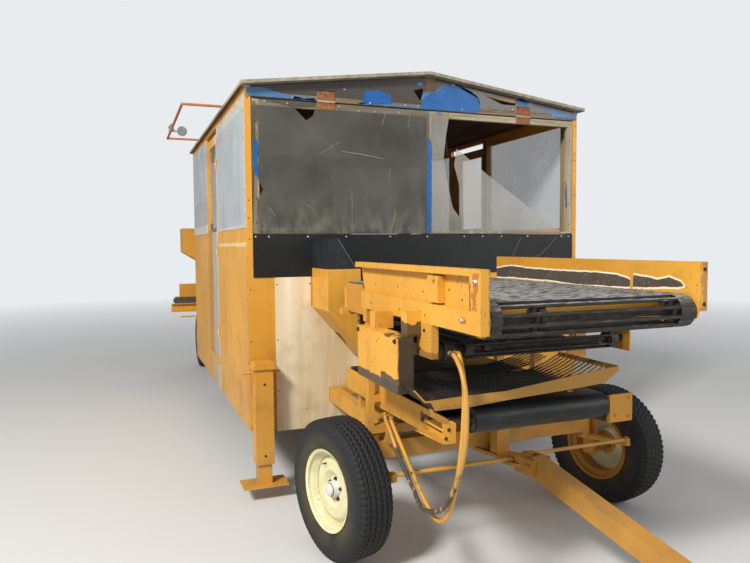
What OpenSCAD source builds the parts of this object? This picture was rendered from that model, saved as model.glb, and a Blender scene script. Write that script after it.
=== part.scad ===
// Towed potato sorting trailer: a four-wheel chassis, an enclosed sorting cab with a low gable roof,
// a rod-chain conveyor standing out at the front, a steered front axle with a tongue on the ground.
// Millimetres. X runs across, the front faces -Y, Z is up, and the ground is Z = 0.

/* [Cab] */
// Width over the side walls
cab_w = 2670; // [2600:10:2900]
// Length over the end walls
cab_l = 3340; // [3200:20:3700]
// Height of the eaves above the ground
eave_z = 2752; // [2650:2:2900]
// Rise of the ridge over the eaves
ridge_rise = 170; // [120:5:260]
// Thickness of the roof sheets
roof_t = 22; // [10:1:26]
// Overhang of the roof past the side walls
roof_over = 30; // [20:1:60]
// Overhang of the roof past the end walls
roof_front = 60; // [30:5:90]
// Depth of the wooden rafters
rafter_h = 45; // [38:1:52]
// Drop of the wooden header's underside below the eaves
head_drop = 68; // [66:1:90]
// Height of the lower edge of the walls
skirt_z = 440; // [400:5:480]
// Thickness of the wall sheets
wall_t = 20; // [12:1:30]
// Width of the corner posts
post_w = 40; // [38:1:56]
// Height of the sill under the front sash
sill_z = 1770; // [1740:5:1800]
// Height of the sill under the side windows
side_sill_z = 1825; // [1780:5:1900]
// Height of the lower edge of the black rubber band
band_z = 1480; // [1478:1:1500]
// Where the doors begin, from the front wall
door_y = 1400; // [1300:10:1500]
// Width of a door leaf
door_w = 680; // [640:2:720]
// Width of the mullion of the front sash
mullion_w = 42; // [40:1:70]
// Width of the stiles and the top rail of the front sash
stile_w = 44; // [36:1:60]

/* [Chassis] */
// Middle of the chassis, to the left of the middle of the cab
chassis_off = 105; // [60:5:140]
// Distance of the rails from the middle of the chassis
rail_x = 640; // [600:5:650]
// Width of a rail
rail_w = 60; // [50:1:80]
// Underside of the rails
rail_z = 600; // [600:1:605]
// Depth of the rails
rail_h = 100; // [80:1:120]
// Distance of the front axle ahead of the cab
front_axle = 1000; // [960:5:1060]
// Distance of the rear axle behind the front wall
rear_axle = 5100; // [5000:10:5300]
// Length of the rails behind the front wall
frame_end = 5400; // [5380:10:5470]
// Distance of the kingpins from the middle
kingpin_x = 725; // [715:5:745]

/* [Wheels and steering] */
// Outside radius of the tyres
tyre_r = 380; // [370:1:390]
// Width of the tyres
tyre_w = 210; // [195:1:220]
// Radius of the rim where the tyre sits
bead_r = 209.5; // [200:0.5:215]
// Distance of the middle of a wheel from its kingpin
wheel_off = 215; // [210:1:225]
// Angle by which the wheels stand steered
steer = 13.4; // [5:0.1:18]
// Distance of the track rod pins ahead of the pivots
arm_y = 270; // [255:1:285]
// Distance of the track rod pins to the side of the pivots
arm_x = 60; // [56:1:64]
// Slope of the tongue down to the ground
tongue_drop = 17.2; // [16:0.1:19]
// Width and height of the tongue's tube
tongue_w = 100; // [80:1:100]
// Radius of the bore in the tongue's eye
eye_r = 20; // [16:1:24]

/* [Front conveyor] */
// Inner face of the left side panel
conv_left = -844; // [-860:1:-835]
// Inner face of the right side panel
conv_right = 189; // [185:1:220]
// Middle of the nose roller
nose_y = -2195; // [-2230:5:-2150]
// Height of the middle of the nose roller
nose_z = 1400; // [1396:1:1404]
// Radius of the rod chain round the nose roller
nose_r = 72; // [66:1:74]
// Distance from rod to rod
rod_pitch = 41; // [36:1:60]
// Radius of a rubber-covered rod of the upper chain
cover_r = 9; // [7:0.5:10]
// Radius of a bare rod
rod_r = 6; // [4:0.5:7]
// Top of the side panels
panel_z = 1600; // [1580:2:1620]

/* [Lamp bar and jack] */
// Reach of the lamp bar past the wall
lamp_reach = 315; // [220:5:340]
// Radius of the pipe of the lamp bar
lamp_pipe_r = 11; // [8:0.5:14]
// Height of the lamp bar over the eaves
lamp_rise = 43; // [40:1:60]
// Height of the jack's foot plate over the ground
jack_up = 95; // [60:5:140]

/* [Rear] */
// Distance of the cross conveyor behind the cab
cross_gap = 420; // [360:10:460]
// Distance over its two side channels
cross_l = 1100; // [1000:10:1140]
// Reach of its near channel to the left
cross_left = -1580; // [-1600:10:-1500]
// Reach to the right
cross_right = 950; // [850:10:1000]
// Underside of its channels
cross_z = 910; // [900:5:930]
// Height of its channels
cross_h = 100; // [90:2:120]
// Top of the rear hopper
hopper_z = 1925; // [1800:5:2000]

/* [Hidden] */
pin_gap = 0.3;            // running clearance of pins, spindles and slides
seat = 0.3;               // air between round pieces that rest on each other
cab_x = cab_w / 2;
chassis_x = -chassis_off;
axle_y = -front_axle;
track_x = kingpin_x + wheel_off;
side_t = 6;               // sheet of the conveyor's side panels
flange = 40;              // outward flanges of the side panels
beam_z = 500;             // underside of the front axle beam
beam_w = 80;
beam_h = rail_z - beam_z;
head_pin_d = 400;         // tongue hinge ahead of the steering pivot
head_pin_z = 475;
eye_out = 48;             // outside radius of the tongue's eye
eye_t = 32;
eye_low = eye_out * sin(tongue_drop) + eye_t / 2 * cos(tongue_drop);
tongue_l = (head_pin_z - eye_low) / sin(tongue_drop);
eye_d = head_pin_d + tongue_l * cos(tongue_drop);
eye_ny = sin(tongue_drop) * cos(steer);
eye_front = axle_y - eye_d * cos(steer) - eye_out * sqrt(1 - eye_ny * eye_ny) - eye_t / 2 * eye_ny;
box_left = -cab_x - lamp_reach - lamp_pipe_r;
box_right = cab_x + roof_over;
box_rear = max(frame_end, rear_axle + tyre_r);
shift_x = -(box_left + box_right) / 2;
shift_y = -(eye_front + box_rear) / 2;
arc = 48;
hinge_out = 8;            // hinge pins stand this far off the face
head_z = eave_z - head_drop;
header_h = 35;            // wooden header
sash_hinge_z = head_z - 4;
sash_hinge_x = [-837, 758];
sash_x = cab_x - post_w - 5;
sash_lo = sill_z + 7;
sash_hi = head_z - 12;
mullion_x = 13;           // the mullion stands a little to the right
door_top = eave_z - 92;
door_hinge_z = [900, 1600, 2350];
win_hi = eave_z - 88;     // top of the side windows
rear_windows = [[-cab_x + 145, -800], [320, cab_x - 145]];
roof_slope = atan(ridge_rise / cab_x);
lamp_z = eave_z + lamp_rise;
lamp_rest = cab_x * (1 - (lamp_z - lamp_pipe_r + 0.2 - roof_t / cos(roof_slope) - eave_z) / ridge_rise);
bar_lo = 1278;            // bars under the upper conveyor
bar_hi = 1314;
post_y = [-1060, -645];   // the posts under them
drive_y = -620;           // rear shafts of both chains
belt_y = [-1850, -540];   // rolls of the lower belt
belt_z = 916;
belt_r = 60;
belt_x = [-690, 30];
cross_y = cab_l + cross_gap;
cross_end = cross_y + cross_l;
cross_mid = cross_z + cross_h / 2;

yellow = "#e0a030";
rubber = "#222222";
cream = "#ddd2b4";

module place() { translate([shift_x, shift_y, 0]) children(); }
// a box given by its low and high corners
module span(lo, hi) { translate(lo) cube(hi - lo); }
// a bar along X from a to b at y, z
module bar_x(a, b, y, z, r, n = 24) { translate([a, y, z]) rotate([0, 90, 0]) cylinder(r = r, h = b - a, $fn = n); }
module bar_y(x, a, b, z, r, n = 24) { translate([x, a, z]) rotate([-90, 0, 0]) cylinder(r = r, h = b - a, $fn = n); }
// a sheet standing across the machine: outline in x and z, front face at y, and one standing along it
module across(y, t) { translate([0, y + t, 0]) rotate([90, 0, 0]) linear_extrude(t) children(); }
module along(x, t) { translate([x, 0, 0]) rotate([90, 0, 90]) linear_extrude(t) children(); }
// underside of the roof, and half the clear width of the gable at a height
function roof_at(x) = eave_z + ridge_rise * (1 - abs(x) / cab_x);
function gable_in(z) = cab_x * (1 - (z + rafter_h - eave_z) / ridge_rise);
// the frame of a piece that turns with the steering about a vertical pivot
module steered(x) { place() translate([x, axle_y, 0]) rotate([0, 0, steer]) children(); }

// Chassis
module frame() color(yellow) place() {
  for (s = [-1, 1]) translate([chassis_x + s * rail_x - rail_w / 2, axle_y - 100, rail_z])
    cube([rail_w, frame_end + front_axle + 100, rail_h]);
  // cross members between the rails
  for (y = [axle_y - 70, -650, -80, 1640, 3260, 4060, frame_end - 60])
    span([chassis_x - rail_x, y, rail_z + rail_h - 50], [chassis_x + rail_x, y + 60, rail_z + rail_h]);
  // outriggers that carry the cab's lower rails
  for (y = [60, 1640, cab_l - 100]) for (s = [-1, 1])
    span([s > 0 ? chassis_x + rail_x : -cab_x + post_w, y, rail_z + 20],
         [s > 0 ? cab_x - post_w : chassis_x - rail_x, y + 50, rail_z + rail_h]);
}

module front_axle() color(yellow) place() translate([chassis_x, axle_y, 0]) difference() {
  union() {
    translate([-kingpin_x, -beam_w / 2, beam_z]) cube([2 * kingpin_x, beam_w, beam_h]);
    for (s = [-1, 1]) translate([s * kingpin_x, 0, beam_z - 20]) cylinder(r = 40, h = beam_h + 40, $fn = arc);
  }
  translate([0, 0, beam_z - 1]) cylinder(r = 25 + pin_gap, h = beam_h + 2, $fn = arc);
  for (s = [-1, 1]) translate([s * kingpin_x, 0, beam_z - 21])
    cylinder(r = 20 + pin_gap, h = beam_h + 42, $fn = arc);
}

module rear_axle() color(yellow) place() translate([chassis_x, rear_axle, 0]) {
  translate([-kingpin_x - 60, -40, tyre_r - 40]) cube([2 * kingpin_x + 120, 80, 80]);
  for (s = [-1, 1]) {
    translate([s * rail_x - 30, -50, tyre_r + 40]) cube([60, 100, rail_z - tyre_r - 40]);
    bar_x(s > 0 ? kingpin_x + 60 : -track_x - 34, s > 0 ? track_x + 34 : -kingpin_x - 60, 0, tyre_r, 25, arc);
  }
}

// Cab
module cab_floor() color("#7c6a4e") place()
  span([-cab_x + post_w, post_w, rail_z + rail_h], [cab_x - post_w, cab_l - post_w, rail_z + rail_h + 30]);

module cab_posts() color(yellow) place() {
  p = post_w;
  for (sx = [-1, 1]) {
    a = sx > 0 ? cab_x - p : -cab_x;
    // corner posts and the posts at the doors
    for (y = [0, door_y - p, door_y + door_w + 4, cab_l - p]) span([a, y, skirt_z], [a + p, y + p, eave_z]);
    // lower and upper rails along the sides
    for (z = [rail_z + rail_h - p, eave_z - p]) span([a, p, z], [a + p, cab_l - p, z + p]);
    for (z = door_hinge_z) door_hinge_fixed(sx, z);
  }
  // rails across the ends: the lower ones lie on the chassis behind the sheets
  span([-cab_x + p, cab_l - p, eave_z - p], [cab_x - p, cab_l, eave_z]);
  for (y = [wall_t, cab_l - p]) span([-cab_x + p, y, rail_z + rail_h], [cab_x - p, y + p - wall_t, rail_z + rail_h + p]);
}

// butt hinges: pin and two end knuckles on the fixed side, one knuckle with its bore on the leaf
module door_hinge_fixed(sx, z) {
  hx = sx * (cab_x + hinge_out);
  translate([hx, door_y + 3, z]) {
    cylinder(r = 4, h = 100, $fn = 24);
    for (k = [0, 70]) translate([0, 0, k]) cylinder(r = 7, h = 30, $fn = 24);
  }
  for (k = [0, 70]) span([sx > 0 ? cab_x : -cab_x - 4, door_y - 38, z + k], [sx > 0 ? cab_x + 4 : -cab_x, door_y + 3, z + k + 30]);
}
module door_hinge_leaf(sx, z) {
  hx = sx * (cab_x + hinge_out);
  difference() {
    union() {
      translate([hx, door_y + 3, z + 31]) cylinder(r = 7, h = 38, $fn = 24);
      span([sx > 0 ? cab_x + 1 : -cab_x - 4, door_y + 3, z + 31], [sx > 0 ? cab_x + 4 : -cab_x - 1, door_y + 10, z + 69]);
      span([sx > 0 ? cab_x - 2 : -cab_x - 4, door_y + 10, z + 31], [sx > 0 ? cab_x + 4 : -cab_x + 2, door_y + 44, z + 69]);
    }
    translate([hx, door_y + 3, z + 30]) cylinder(r = 4 + pin_gap, h = 40, $fn = 24);
  }
}
module sash_hinge_fixed(x) {
  bar_x(x, x + 124, -hinge_out, sash_hinge_z, 4, 24);
  span([x, -4, sash_hinge_z + 8], [x + 124, 0, eave_z]);
  for (k = [0, 86]) {
    bar_x(x + k, x + k + 38, -hinge_out, sash_hinge_z, 7, 24);
    span([x + k, -4, sash_hinge_z], [x + k + 38, 0, sash_hinge_z + 8]);
  }
}
module sash_hinge_leaf(x) difference() {
  union() {
    bar_x(x + 39, x + 85, -hinge_out, sash_hinge_z, 7, 24);
    span([x + 39, -4, sash_hinge_z - 9], [x + 85, -1, sash_hinge_z]);
    span([x, -4, sash_hi - 46], [x + 124, 0, sash_hi - 1]);
  }
  bar_x(x + 38, x + 86, -hinge_out, sash_hinge_z, 4 + pin_gap, 24);
}

// sheets of a side wall between the posts, with the window cut above the sill
module side_wall(sx) {
  p = post_w;
  x = sx > 0 ? cab_x - wall_t : -cab_x;
  low = rail_z + rail_h;
  for (r = [[p, door_y - p], [door_y + door_w + 4 + p, cab_l - p]]) {
    difference() {
      span([x, r[0], low], [x + wall_t, r[1], eave_z - p]);
      span([x - 1, r[0] + 12, side_sill_z], [x + wall_t + 1, r[1] - 63, win_hi]);
    }
    span([x, r[0], skirt_z], [x + wall_t, r[1], low - p]);
  }
  // sheet below the door
  span([x, door_y, skirt_z], [x + wall_t, door_y + door_w + 4, low - p]);
}
module wall_left() color(yellow) place() side_wall(-1);
module wall_right() color(yellow) place() side_wall(1);

// notches round the chassis rails
module rail_notches(y) for (s = [-1, 1])
  span([chassis_x + s * rail_x - rail_w / 2 - 2, y - 1, rail_z - 2],
       [chassis_x + s * rail_x + rail_w / 2 + 2, y + wall_t + 1, rail_z + rail_h]);

module wall_front() color(yellow) place() {
  p = post_w;
  difference() {
    span([-cab_x + p, 0, skirt_z], [cab_x - p, wall_t, sill_z - 38]);
    span([conv_left + 150, -1, 1290], [conv_right + 40, wall_t + 1, sill_z]);
    rail_notches(0);
  }
}

module front_sheet() color(cream) place() difference() {
  a = -cab_x + 185;
  b = conv_left - 56;
  across(-4, 4) polygon([[a, skirt_z - 20], [b + 340, skirt_z - 20], [b + 400, skirt_z + 60], [b + 400, 1270],
    [b, 1270], [b, band_z], [a, band_z]]);
  rail_notches(-10);
}

module wall_rear() color(yellow) place() {
  p = post_w;
  difference() {
    span([-cab_x + p, cab_l - wall_t, skirt_z], [cab_x - p, cab_l, eave_z - p]);
    rail_notches(cab_l - wall_t);
    span([conv_left + 150, cab_l - wall_t - 1, 1290], [conv_right + 40, cab_l + 1, 1900]);
    for (x = rear_windows)
      span([x[0], cab_l - wall_t - 1, side_sill_z], [x[1], cab_l + 1, eave_z - p - 60]);
  }
}

// rubber sheet across the front
module front_band() color(rubber) place()
  span([-cab_x + post_w, -6, band_z], [cab_x - post_w, 0, sill_z]);

module roof_sheets() color("#8d857a") place() {
  for (s = [-1, 1]) intersection() {
    translate([0, 0, eave_z + ridge_rise]) rotate([0, s * roof_slope, 0])
      translate([s > 0 ? -100 : -cab_w, -roof_front, 0]) cube([cab_w + 100, cab_l + 2 * roof_front, roof_t]);
    span([s > 0 ? 0 : -cab_x - roof_over, -roof_front - 1, eave_z - 100],
         [s > 0 ? cab_x + roof_over : 0, cab_l + roof_front + 1, eave_z + ridge_rise + 100]);
  }
}

// wooden members: gable frames, header, sill and studs
module gable(base, foot) difference() {
  w = cab_x - post_w;
  polygon([[-w, base], [-w, roof_at(w) - seat], [0, roof_at(0) - seat], [w, roof_at(w) - seat], [w, base]]);
  polygon([[-gable_in(foot), foot], [-24, foot], [-24, roof_at(24) - rafter_h]]);
  polygon([[64, foot], [gable_in(foot), foot], [64, roof_at(64) - rafter_h]]);
}
module front_battens() color("#9a8a70") place() {
  p = post_w;
  top = head_z + header_h;
  across(0, 38) gable(head_z, top);
  across(cab_l - 38, 38) gable(eave_z, eave_z + 24);
  span([-cab_x + p, 38, head_z], [cab_x - p, 43, top]);
  span([-cab_x + p, 0, sill_z - 38], [cab_x - p, 90, sill_z - 2]);
  span([mullion_x - 21, 43, sill_z - 2], [mullion_x + 21, 90, top]);
  for (s = [-1, 1]) {
    a = s > 0 ? cab_x - wall_t - 38 : -cab_x + wall_t;
    // jambs behind the sash and studs ahead of the doors
    span([a, 43, sill_z - 2], [a + 38, 133, eave_z - p]);
    span([a, door_y - 103, rail_z + rail_h + 30], [a + 38, door_y - 53, eave_z - p]);
  }
  for (x = sash_hinge_x) sash_hinge_fixed(x);
}

module fixed_panes() color("#b8c4c488") place() {
  w = cab_x - 4;
  // sheets over the side windows, the gables and the windows of the rear wall
  for (sx = [-1, 1]) for (r = [[10, door_y - 45], [door_y + door_w + 20, cab_l - 40]])
    span([sx > 0 ? cab_x : -cab_x - 4, r[0], side_sill_z - 10], [sx > 0 ? cab_x + 4 : -cab_x, r[1], win_hi + 36]);
  across(-4, 4) difference() {
    polygon([[-w, head_z - 4], [-w, roof_at(w) - 3], [0, roof_at(0) - 3], [w, roof_at(w) - 3], [w, head_z - 4]]);
    for (x = sash_hinge_x) translate([x - 2, head_z - 5]) square([128, eave_z - head_z + 10]);
    polygon([[-112, 2810], [-34, 2834], [-35, 2768], [-64, 2744]]);
    polygon([[483, 2816], [752, 2813], [753, 2762], [633, 2763]]);
  }
  v = w - 36;
  across(cab_l, 4) polygon([[-v, eave_z - 20], [-v, roof_at(w) - 3], [0, roof_at(0) - 3], [v, roof_at(w) - 3], [v, eave_z - 20]]);
  for (x = rear_windows)
    span([x[0], cab_l - wall_t / 2 - 2, side_sill_z], [x[1], cab_l - wall_t / 2 + 2, eave_z - post_w - 60]);
}

// one sash over the whole front, hinged along its top, with two clear sheets on its face
module front_sash() color("#8b8274") place() {
  m = mullion_w / 2;
  difference() {
    span([-sash_x, 0, sash_lo], [sash_x, 38, sash_hi]);
    for (r = [[-sash_x + stile_w, mullion_x - m], [mullion_x + m, sash_x - stile_w]])
      span([r[0], -1, sash_lo + 14], [r[1], 39, sash_hi - stile_w]);
  }
  for (x = sash_hinge_x) sash_hinge_leaf(x);
}
module hinge_notches() for (x = sash_hinge_x) translate([x - 2, sash_hi - 48]) square([128, 60]);
// the left sheet has pieces missing below the top rail and at its left edge
module sash_left_pane() color("#8f969688") place() across(-4, 4) difference() {
  translate([-sash_x, sash_lo - 1]) square([sash_x + mullion_x - 1, sash_hi - sash_lo + 1]);
  hinge_notches();
  polygon([[-1005, 2629], [-918, 2546], [-868, 2581], [-852, 2637]]);
  polygon([[-1259, 2147], [-1221, 2071], [-1261, 1994]]);
  polygon([[-1267, 2517], [-1253, 2480], [-1265, 2457]]);
}
// the right sheet is broken: a strip along the mullion and a large shard below are left
module sash_right_pane() color("#dfe8e888") place() across(-4, 4) difference() {
  x = mullion_x + 1;
  polygon([[x, sash_lo - 1], [1205, sash_lo - 1], [528, 2211], [240, 2409], [221, 2282], [262, 2143], [265, 1898],
    [209, 1966], [194, 2020], [158, 2181], [131, 2323], [148, 2485], [183, sash_hi], [x, sash_hi]]);
  hinge_notches();
}

// doors in the side walls, hinged at their front edge
module door(sx) {
  x = sx > 0 ? cab_x - wall_t - 2 : -cab_x + 2;
  difference() {
    span([x, door_y + 6, rail_z + rail_h + 6], [x + wall_t, door_y + door_w - 4, door_top]);
    span([x - 1, door_y + 60, side_sill_z + 30], [x + wall_t + 1, door_y + door_w - 210, door_top - 80]);
  }
}
module door_pane(sx) {
  x = sx > 0 ? cab_x - wall_t / 2 - 4 : -cab_x + wall_t / 2;
  span([x, door_y + 60, side_sill_z + 30], [x + 4, door_y + door_w - 210, door_top - 80]);
}
module door_left() color(yellow) place() {
  door(-1);
  for (z = door_hinge_z) door_hinge_leaf(-1, z);
}
module door_right() color(yellow) place() {
  door(1);
  for (z = door_hinge_z) door_hinge_leaf(1, z);
}
module door_left_pane() color("#b8c4c488") place() door_pane(-1);
module door_right_pane() color("#b8c4c488") place() door_pane(1);

// Lamp bar beside the eaves, resting on the roof
module lamp_bar() color("#a8602c") place() {
  x = -cab_x - lamp_reach;
  bar_y(x, 930 - lamp_pipe_r, 2650 + lamp_pipe_r, lamp_z, lamp_pipe_r);
  for (y = [930, 2650]) bar_x(x + 2, -lamp_rest, y, lamp_z, lamp_pipe_r - 0.5);
}
module lamps() color("#c8c8c8") place() {
  x = -cab_x - lamp_reach;
  edge = lamp_pipe_r + seat;
  // round lamp on a short arm, a clamp and a small lamp turned up
  bar_x(x + edge, x + 85, 2206, lamp_z, 6);
  translate([x + 102, 2214, lamp_z]) rotate([90, 0, 0]) rotate_extrude($fn = arc)
    polygon([[0, 0], [28, 0], [46, 34], [46, 42], [0, 42]]);
  span([x - 10, 1985, lamp_z - edge - 16], [x + 18, 2015, lamp_z - edge]);
  translate([x, 2400, lamp_z + edge]) cylinder(r = 6, h = 54, $fn = 24);
  span([x - 5, 2394, lamp_z + 56], [x + 26, 2406, lamp_z + 68]);
  translate([x + 28, 2400, lamp_z + 72]) rotate([0, -50, 0]) cylinder(r = 24, h = 28, $fn = arc);
}

// Jack at the front left corner
module jack_sleeve() color(yellow) place() translate([-cab_x + 75, -75, 0]) {
  difference() {
    union() {
      span([-60, -60, 240], [60, 60, 880]);
      translate([0, 60, 0]) rotate([90, 0, 0]) linear_extrude(134) polygon([[-78, 880], [78, 880], [62, 925], [-62, 925]]);
      span([-60, 60, 480], [60, 75, 700]);
    }
    span([-46 - pin_gap, -46 - pin_gap, 239], [46 + pin_gap, 46 + pin_gap, 870]);
  }
  bar_x(-136, 116, -20, 856, 9, 24);
}
module jack_leg() color(yellow) place() translate([-cab_x + 75, -75, jack_up]) {
  span([-150, -90, 0], [150, 90, 12]);
  difference() {
    span([-46, -46, 12], [46, 46, 640]);
    span([-40, -40, 13], [40, 40, 641]);
  }
}

// Front conveyor
module strip(a, b, y0, y1, z0, z1) span([min(a, b), y0, z0], [max(a, b), y1, z1]);
// side panel: sheet with an outward top flange and a boxed lower rail; s = side it faces
module conveyor_side(x, s, front, rear, top) {
  out = x + s * flange;
  skin = x + s * side_t;
  along(min(x, skin), side_t) polygon(concat(front, [[rear[0], 1350], [rear[1], top]]));
  strip(x, out, front[0][0], rear[1], top - 6, top);
  strip(out - s * 4, out, front[0][0], rear[1], top - 28, top);
  strip(skin, out, -2185, rear[0], 1350, 1440);
}
module side_left() color(yellow) place() {
  conveyor_side(conv_left, -1, [[-2270, panel_z], [-2270, 1350]], [-980, -888], panel_z);
  // stiffener and end plate
  span([conv_left - flange, -1922, 1448], [conv_left - side_t, -1820, 1562]);
  span([conv_left - flange, -2273, 1350], [conv_left - side_t, -2185, panel_z - 2]);
  // tie across inside the chain
  span([conv_left, -2080, 1393], [conv_right, -2040, 1439]);
}
module side_right() color(yellow) place() {
  conveyor_side(conv_right, 1, [[-2275, panel_z + 12], [-2275, 1440], [-2262, 1371], [-2175, 1335]], [-650, -650], panel_z + 12);
  span([conv_right + side_t, -2275, 1400], [conv_right + flange, -2234, panel_z + 10]);
  // motor bracket at the right end of the nose
  span([conv_right + flange, -1800, 1300], [conv_right + flange + 60, -1700, 1430]);
}

// outline of a loop over two rolls of radius k
module flat_loop(a, b, z, k) {
  for (u = [a, b]) translate([u, z]) circle(r = k, $fn = arc);
  translate([a, z - k]) square([b - a, 2 * k]);
}
// rod chain on a flat loop: two edge bands b wide, with rods of radius q across
module rod_loop(x0, x1, ya, yb, z, r, pitch, q, b = [40, 40]) {
  for (e = [[x0, b[0]], [x1 - b[1], b[1]]]) along(e[0], e[1]) difference() {
    flat_loop(ya, yb, z, r);
    flat_loop(ya, yb, z, r - 6);
  }
  c = r - q + 2;
  n = floor((yb - ya) / pitch);
  m = round(PI * c / pitch);
  for (i = [0 : n]) for (s = [-1, 1]) bar_x(x0, x1, ya + i * (yb - ya) / n, z + s * c, q, 6);
  for (k = [1 : m - 1]) {
    bar_x(x0, x1, ya - c * sin(180 * k / m), z + c * cos(180 * k / m), q, 6);
    bar_x(x0, x1, yb + c * sin(180 * k / m), z + c * cos(180 * k / m), q, 6);
  }
}
module front_chain() color("#33302c") place()
  rod_loop(conv_left + 12, conv_right - 12, nose_y, drive_y, nose_z, nose_r, rod_pitch, cover_r, [48, 80]);
// the two other chains: front end, height, radius
low_y = -1788;
low_z = 1225;
low_r = 45;
sort_z = 1420;
sort_r = 45;
module rollers() color("#6a6660") place() {
  // shafts between two faces with rolls under the chains
  for (c = [[conv_left, conv_right, nose_y, nose_z, nose_r, cover_r], [conv_left, conv_right, drive_y, nose_z, nose_r, cover_r],
            [-750, 200, low_y, low_z, low_r, rod_r], [-720, 200, drive_y, low_z, low_r, rod_r],
            [-658, 192, -230, sort_z, sort_r, rod_r], [-658, 192, cab_l + 200, sort_z, sort_r, rod_r]]) {
    bar_x(c[0], c[1], c[2], c[3], 18);
    for (x = [-600, 100]) bar_x(x, x + 30, c[2], c[3], c[4] - 2 * c[5] + 2 - seat, arc);
  }
  bar_x(conv_left + 1, conv_left + 11, nose_y, nose_z, nose_r - 4, arc);
  for (y = belt_y) {
    bar_x(-792, belt_x[1] + 8, y, belt_z, 20);
    bar_x(belt_x[0] + 4, belt_x[1] - 4, y, belt_z, belt_r - 6 - seat, arc);
  }
  for (x = [cross_left + 140, cross_right - 60]) bar_y(x, cross_y + 6, cross_end, cross_mid, 36.7, arc);
}
module lower_chain() color("#33302c") place()
  rod_loop(-700, 150, low_y, drive_y, low_z, low_r, 48, rod_r);

// tray of bent rods behind a lip that rises to the right
module rod_tray() color("#4a4540") place() {
  across(-1900, 6) polygon([[-905, 1030], [-724, 1037], [-538, 1040], [-327, 1064], [-113, 1086], [93, 1107], [93, 1084],
    [12, 1032], [-200, 1017], [-538, 999], [-724, 986], [-879, 985]]);
  // bent plate at the left end
  across(-1900, 135) polygon([[-986, 1077], [-936, 1024], [-905, 1022], [-884, 983], [-878, 986], [-900, 1030],
    [-932, 1031], [-981, 1083]]);
  // two groups of rods: first and last, left end and the bends up to the right
  for (g = [[-1880, -1450, [[-880, 1017], [-170, 1017], [-85, 1027], [0, 1056], [90, 1100]]],
            [-1400, -1200, [[-800, 1017], [-230, 1017], [-140, 1028], [-50, 1048], [40, 1080]]]])
    for (y = [g[0] : 33 : g[1]]) for (i = [0 : 3]) {
      a = g[2][i];
      d = g[2][i + 1] - a;
      translate([a[0], y, a[1]]) rotate([0, 90 - atan2(d[1], d[0]), 0]) cylinder(r = 5, h = norm(d) + (i < 3 ? 1 : 0), $fn = 8);
    }
  // strips under the rods and the plate at their upper ends
  for (x = [-810, -200]) span([x, -1894, 1005], [x + 30, -1180, 1013]);
  span([88, -1894, 1084], [94, -1440, 1108]);
}

module belt_frame() color(yellow) place() {
  // side plates of the lower belt: the left one with a slot, an end flange and a lower flange
  along(-800, 8) difference() {
    polygon([[-1909, 926], [-1909, 839], [-1850, 815], [-1071, 791], [-480, 791], [-480, 919]]);
    translate([-1790, 850]) square([230, 46]);
  }
  span([-851, -1909, 839], [-792, -1903, 926]);
  along(-851, 51) polygon([[-1909, 845], [-1909, 839], [-1620, 821], [-1620, 827]]);
  along(38, 8) polygon([[-1905, 971], [-1905, 837], [-1071, 791], [-480, 791], [-480, 919], [-1780, 926]]);
  span([38, -1905, 837], [173, -1897, 971]);
  // take-up rod in the slot and the block behind it where the hoses end
  bar_y(-812, -1903, -1640, 873, 6);
  span([-812, -1652, 860], [-800, -1640, 886]);
  span([-792, -1135, 805], [-740, -1045, 850]);
  // posts on the chassis and the bars under the upper conveyor
  span([-874, post_y[0], 655], [-840, post_y[0] + 50, bar_lo]);
  span([-840, post_y[0], 655], [chassis_x - rail_x - rail_w / 2, post_y[0] + 50, 698]);
  for (p = [[200, post_y[0]], [-770, post_y[1]], [200, post_y[1]]])
    span([p[0], p[1], rail_z + rail_h], [p[0] + 50, p[1] + 50, bar_lo]);
  for (y = post_y) {
    span([conv_left - flange, y, bar_lo], [conv_right + 62, y + 50, bar_hi]);
    span([46, y, 840], [200, y + 50, 880]);
  }
  span([-840, post_y[0], 830], [-800, post_y[0] + 50, 870]);
  span([-792, post_y[1], 840], [-770, post_y[1] + 50, 880]);
  // blocks under the rails of the upper conveyor, bearing plates of its rear shaft
  for (x = [conv_left - flange, conv_right + side_t]) span([x, post_y[0], bar_hi], [x + 34, post_y[0] + 50, 1350]);
  for (x = [conv_left - 8, conv_right]) span([x, post_y[1], bar_hi], [x + 8, post_y[1] + 50, nose_z + 40]);
  // bearing plate of the lower chain and uprights under the tray
  span([200, low_y - 60, 1165], [208, low_y + 60, 1350]);
  for (y = [-1700, -1250]) span([-800, y, 915], [-792, y + 40, 1005]);
  // channel on the right from the upper conveyor down to the tray
  across(-1500, 8) polygon([[94, 1084], [224, 1084], [224, 1350], [195, 1350], [195, 1300], [158, 1300], [158, 1140],
    [118, 1123], [94, 1108]]);
  span([216, -1492, 1084], [224, -1440, 1350]);
  span([158, -1492, 1116], [164, -1440, 1300]);
}
module lower_belt() color(rubber) place() {
  along(belt_x[0], belt_x[1] - belt_x[0]) difference() {
    flat_loop(belt_y[0], belt_y[1], belt_z, belt_r);
    flat_loop(belt_y[0], belt_y[1], belt_z, belt_r - 6);
  }
}

// sheet chute beside the conveyor: open above and below, with a hole worn in its slanting underside
module chute() color(yellow) place() {
  outer = [[-889, 1540], [-889, 1268], [-600, 930], [-520, 930], [-520, 1100], [-631, 1264], [-668, 1264], [-668, 1540]];
  difference() {
    union() {
      across(-380, 374) difference() {
        polygon(outer);
        polygon([[-885, 1541], [-885, 1269.5], [-593.9, 929], [-524, 929], [-524, 1098.8], [-633.1, 1260],
          [-672, 1260], [-672, 1541]]);
      }
      for (y = [-380, -10]) across(y, 4) polygon(outer);
    }
    span([-770, -110, 1010], [-640, -20, 1090]);
  }
}
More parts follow.
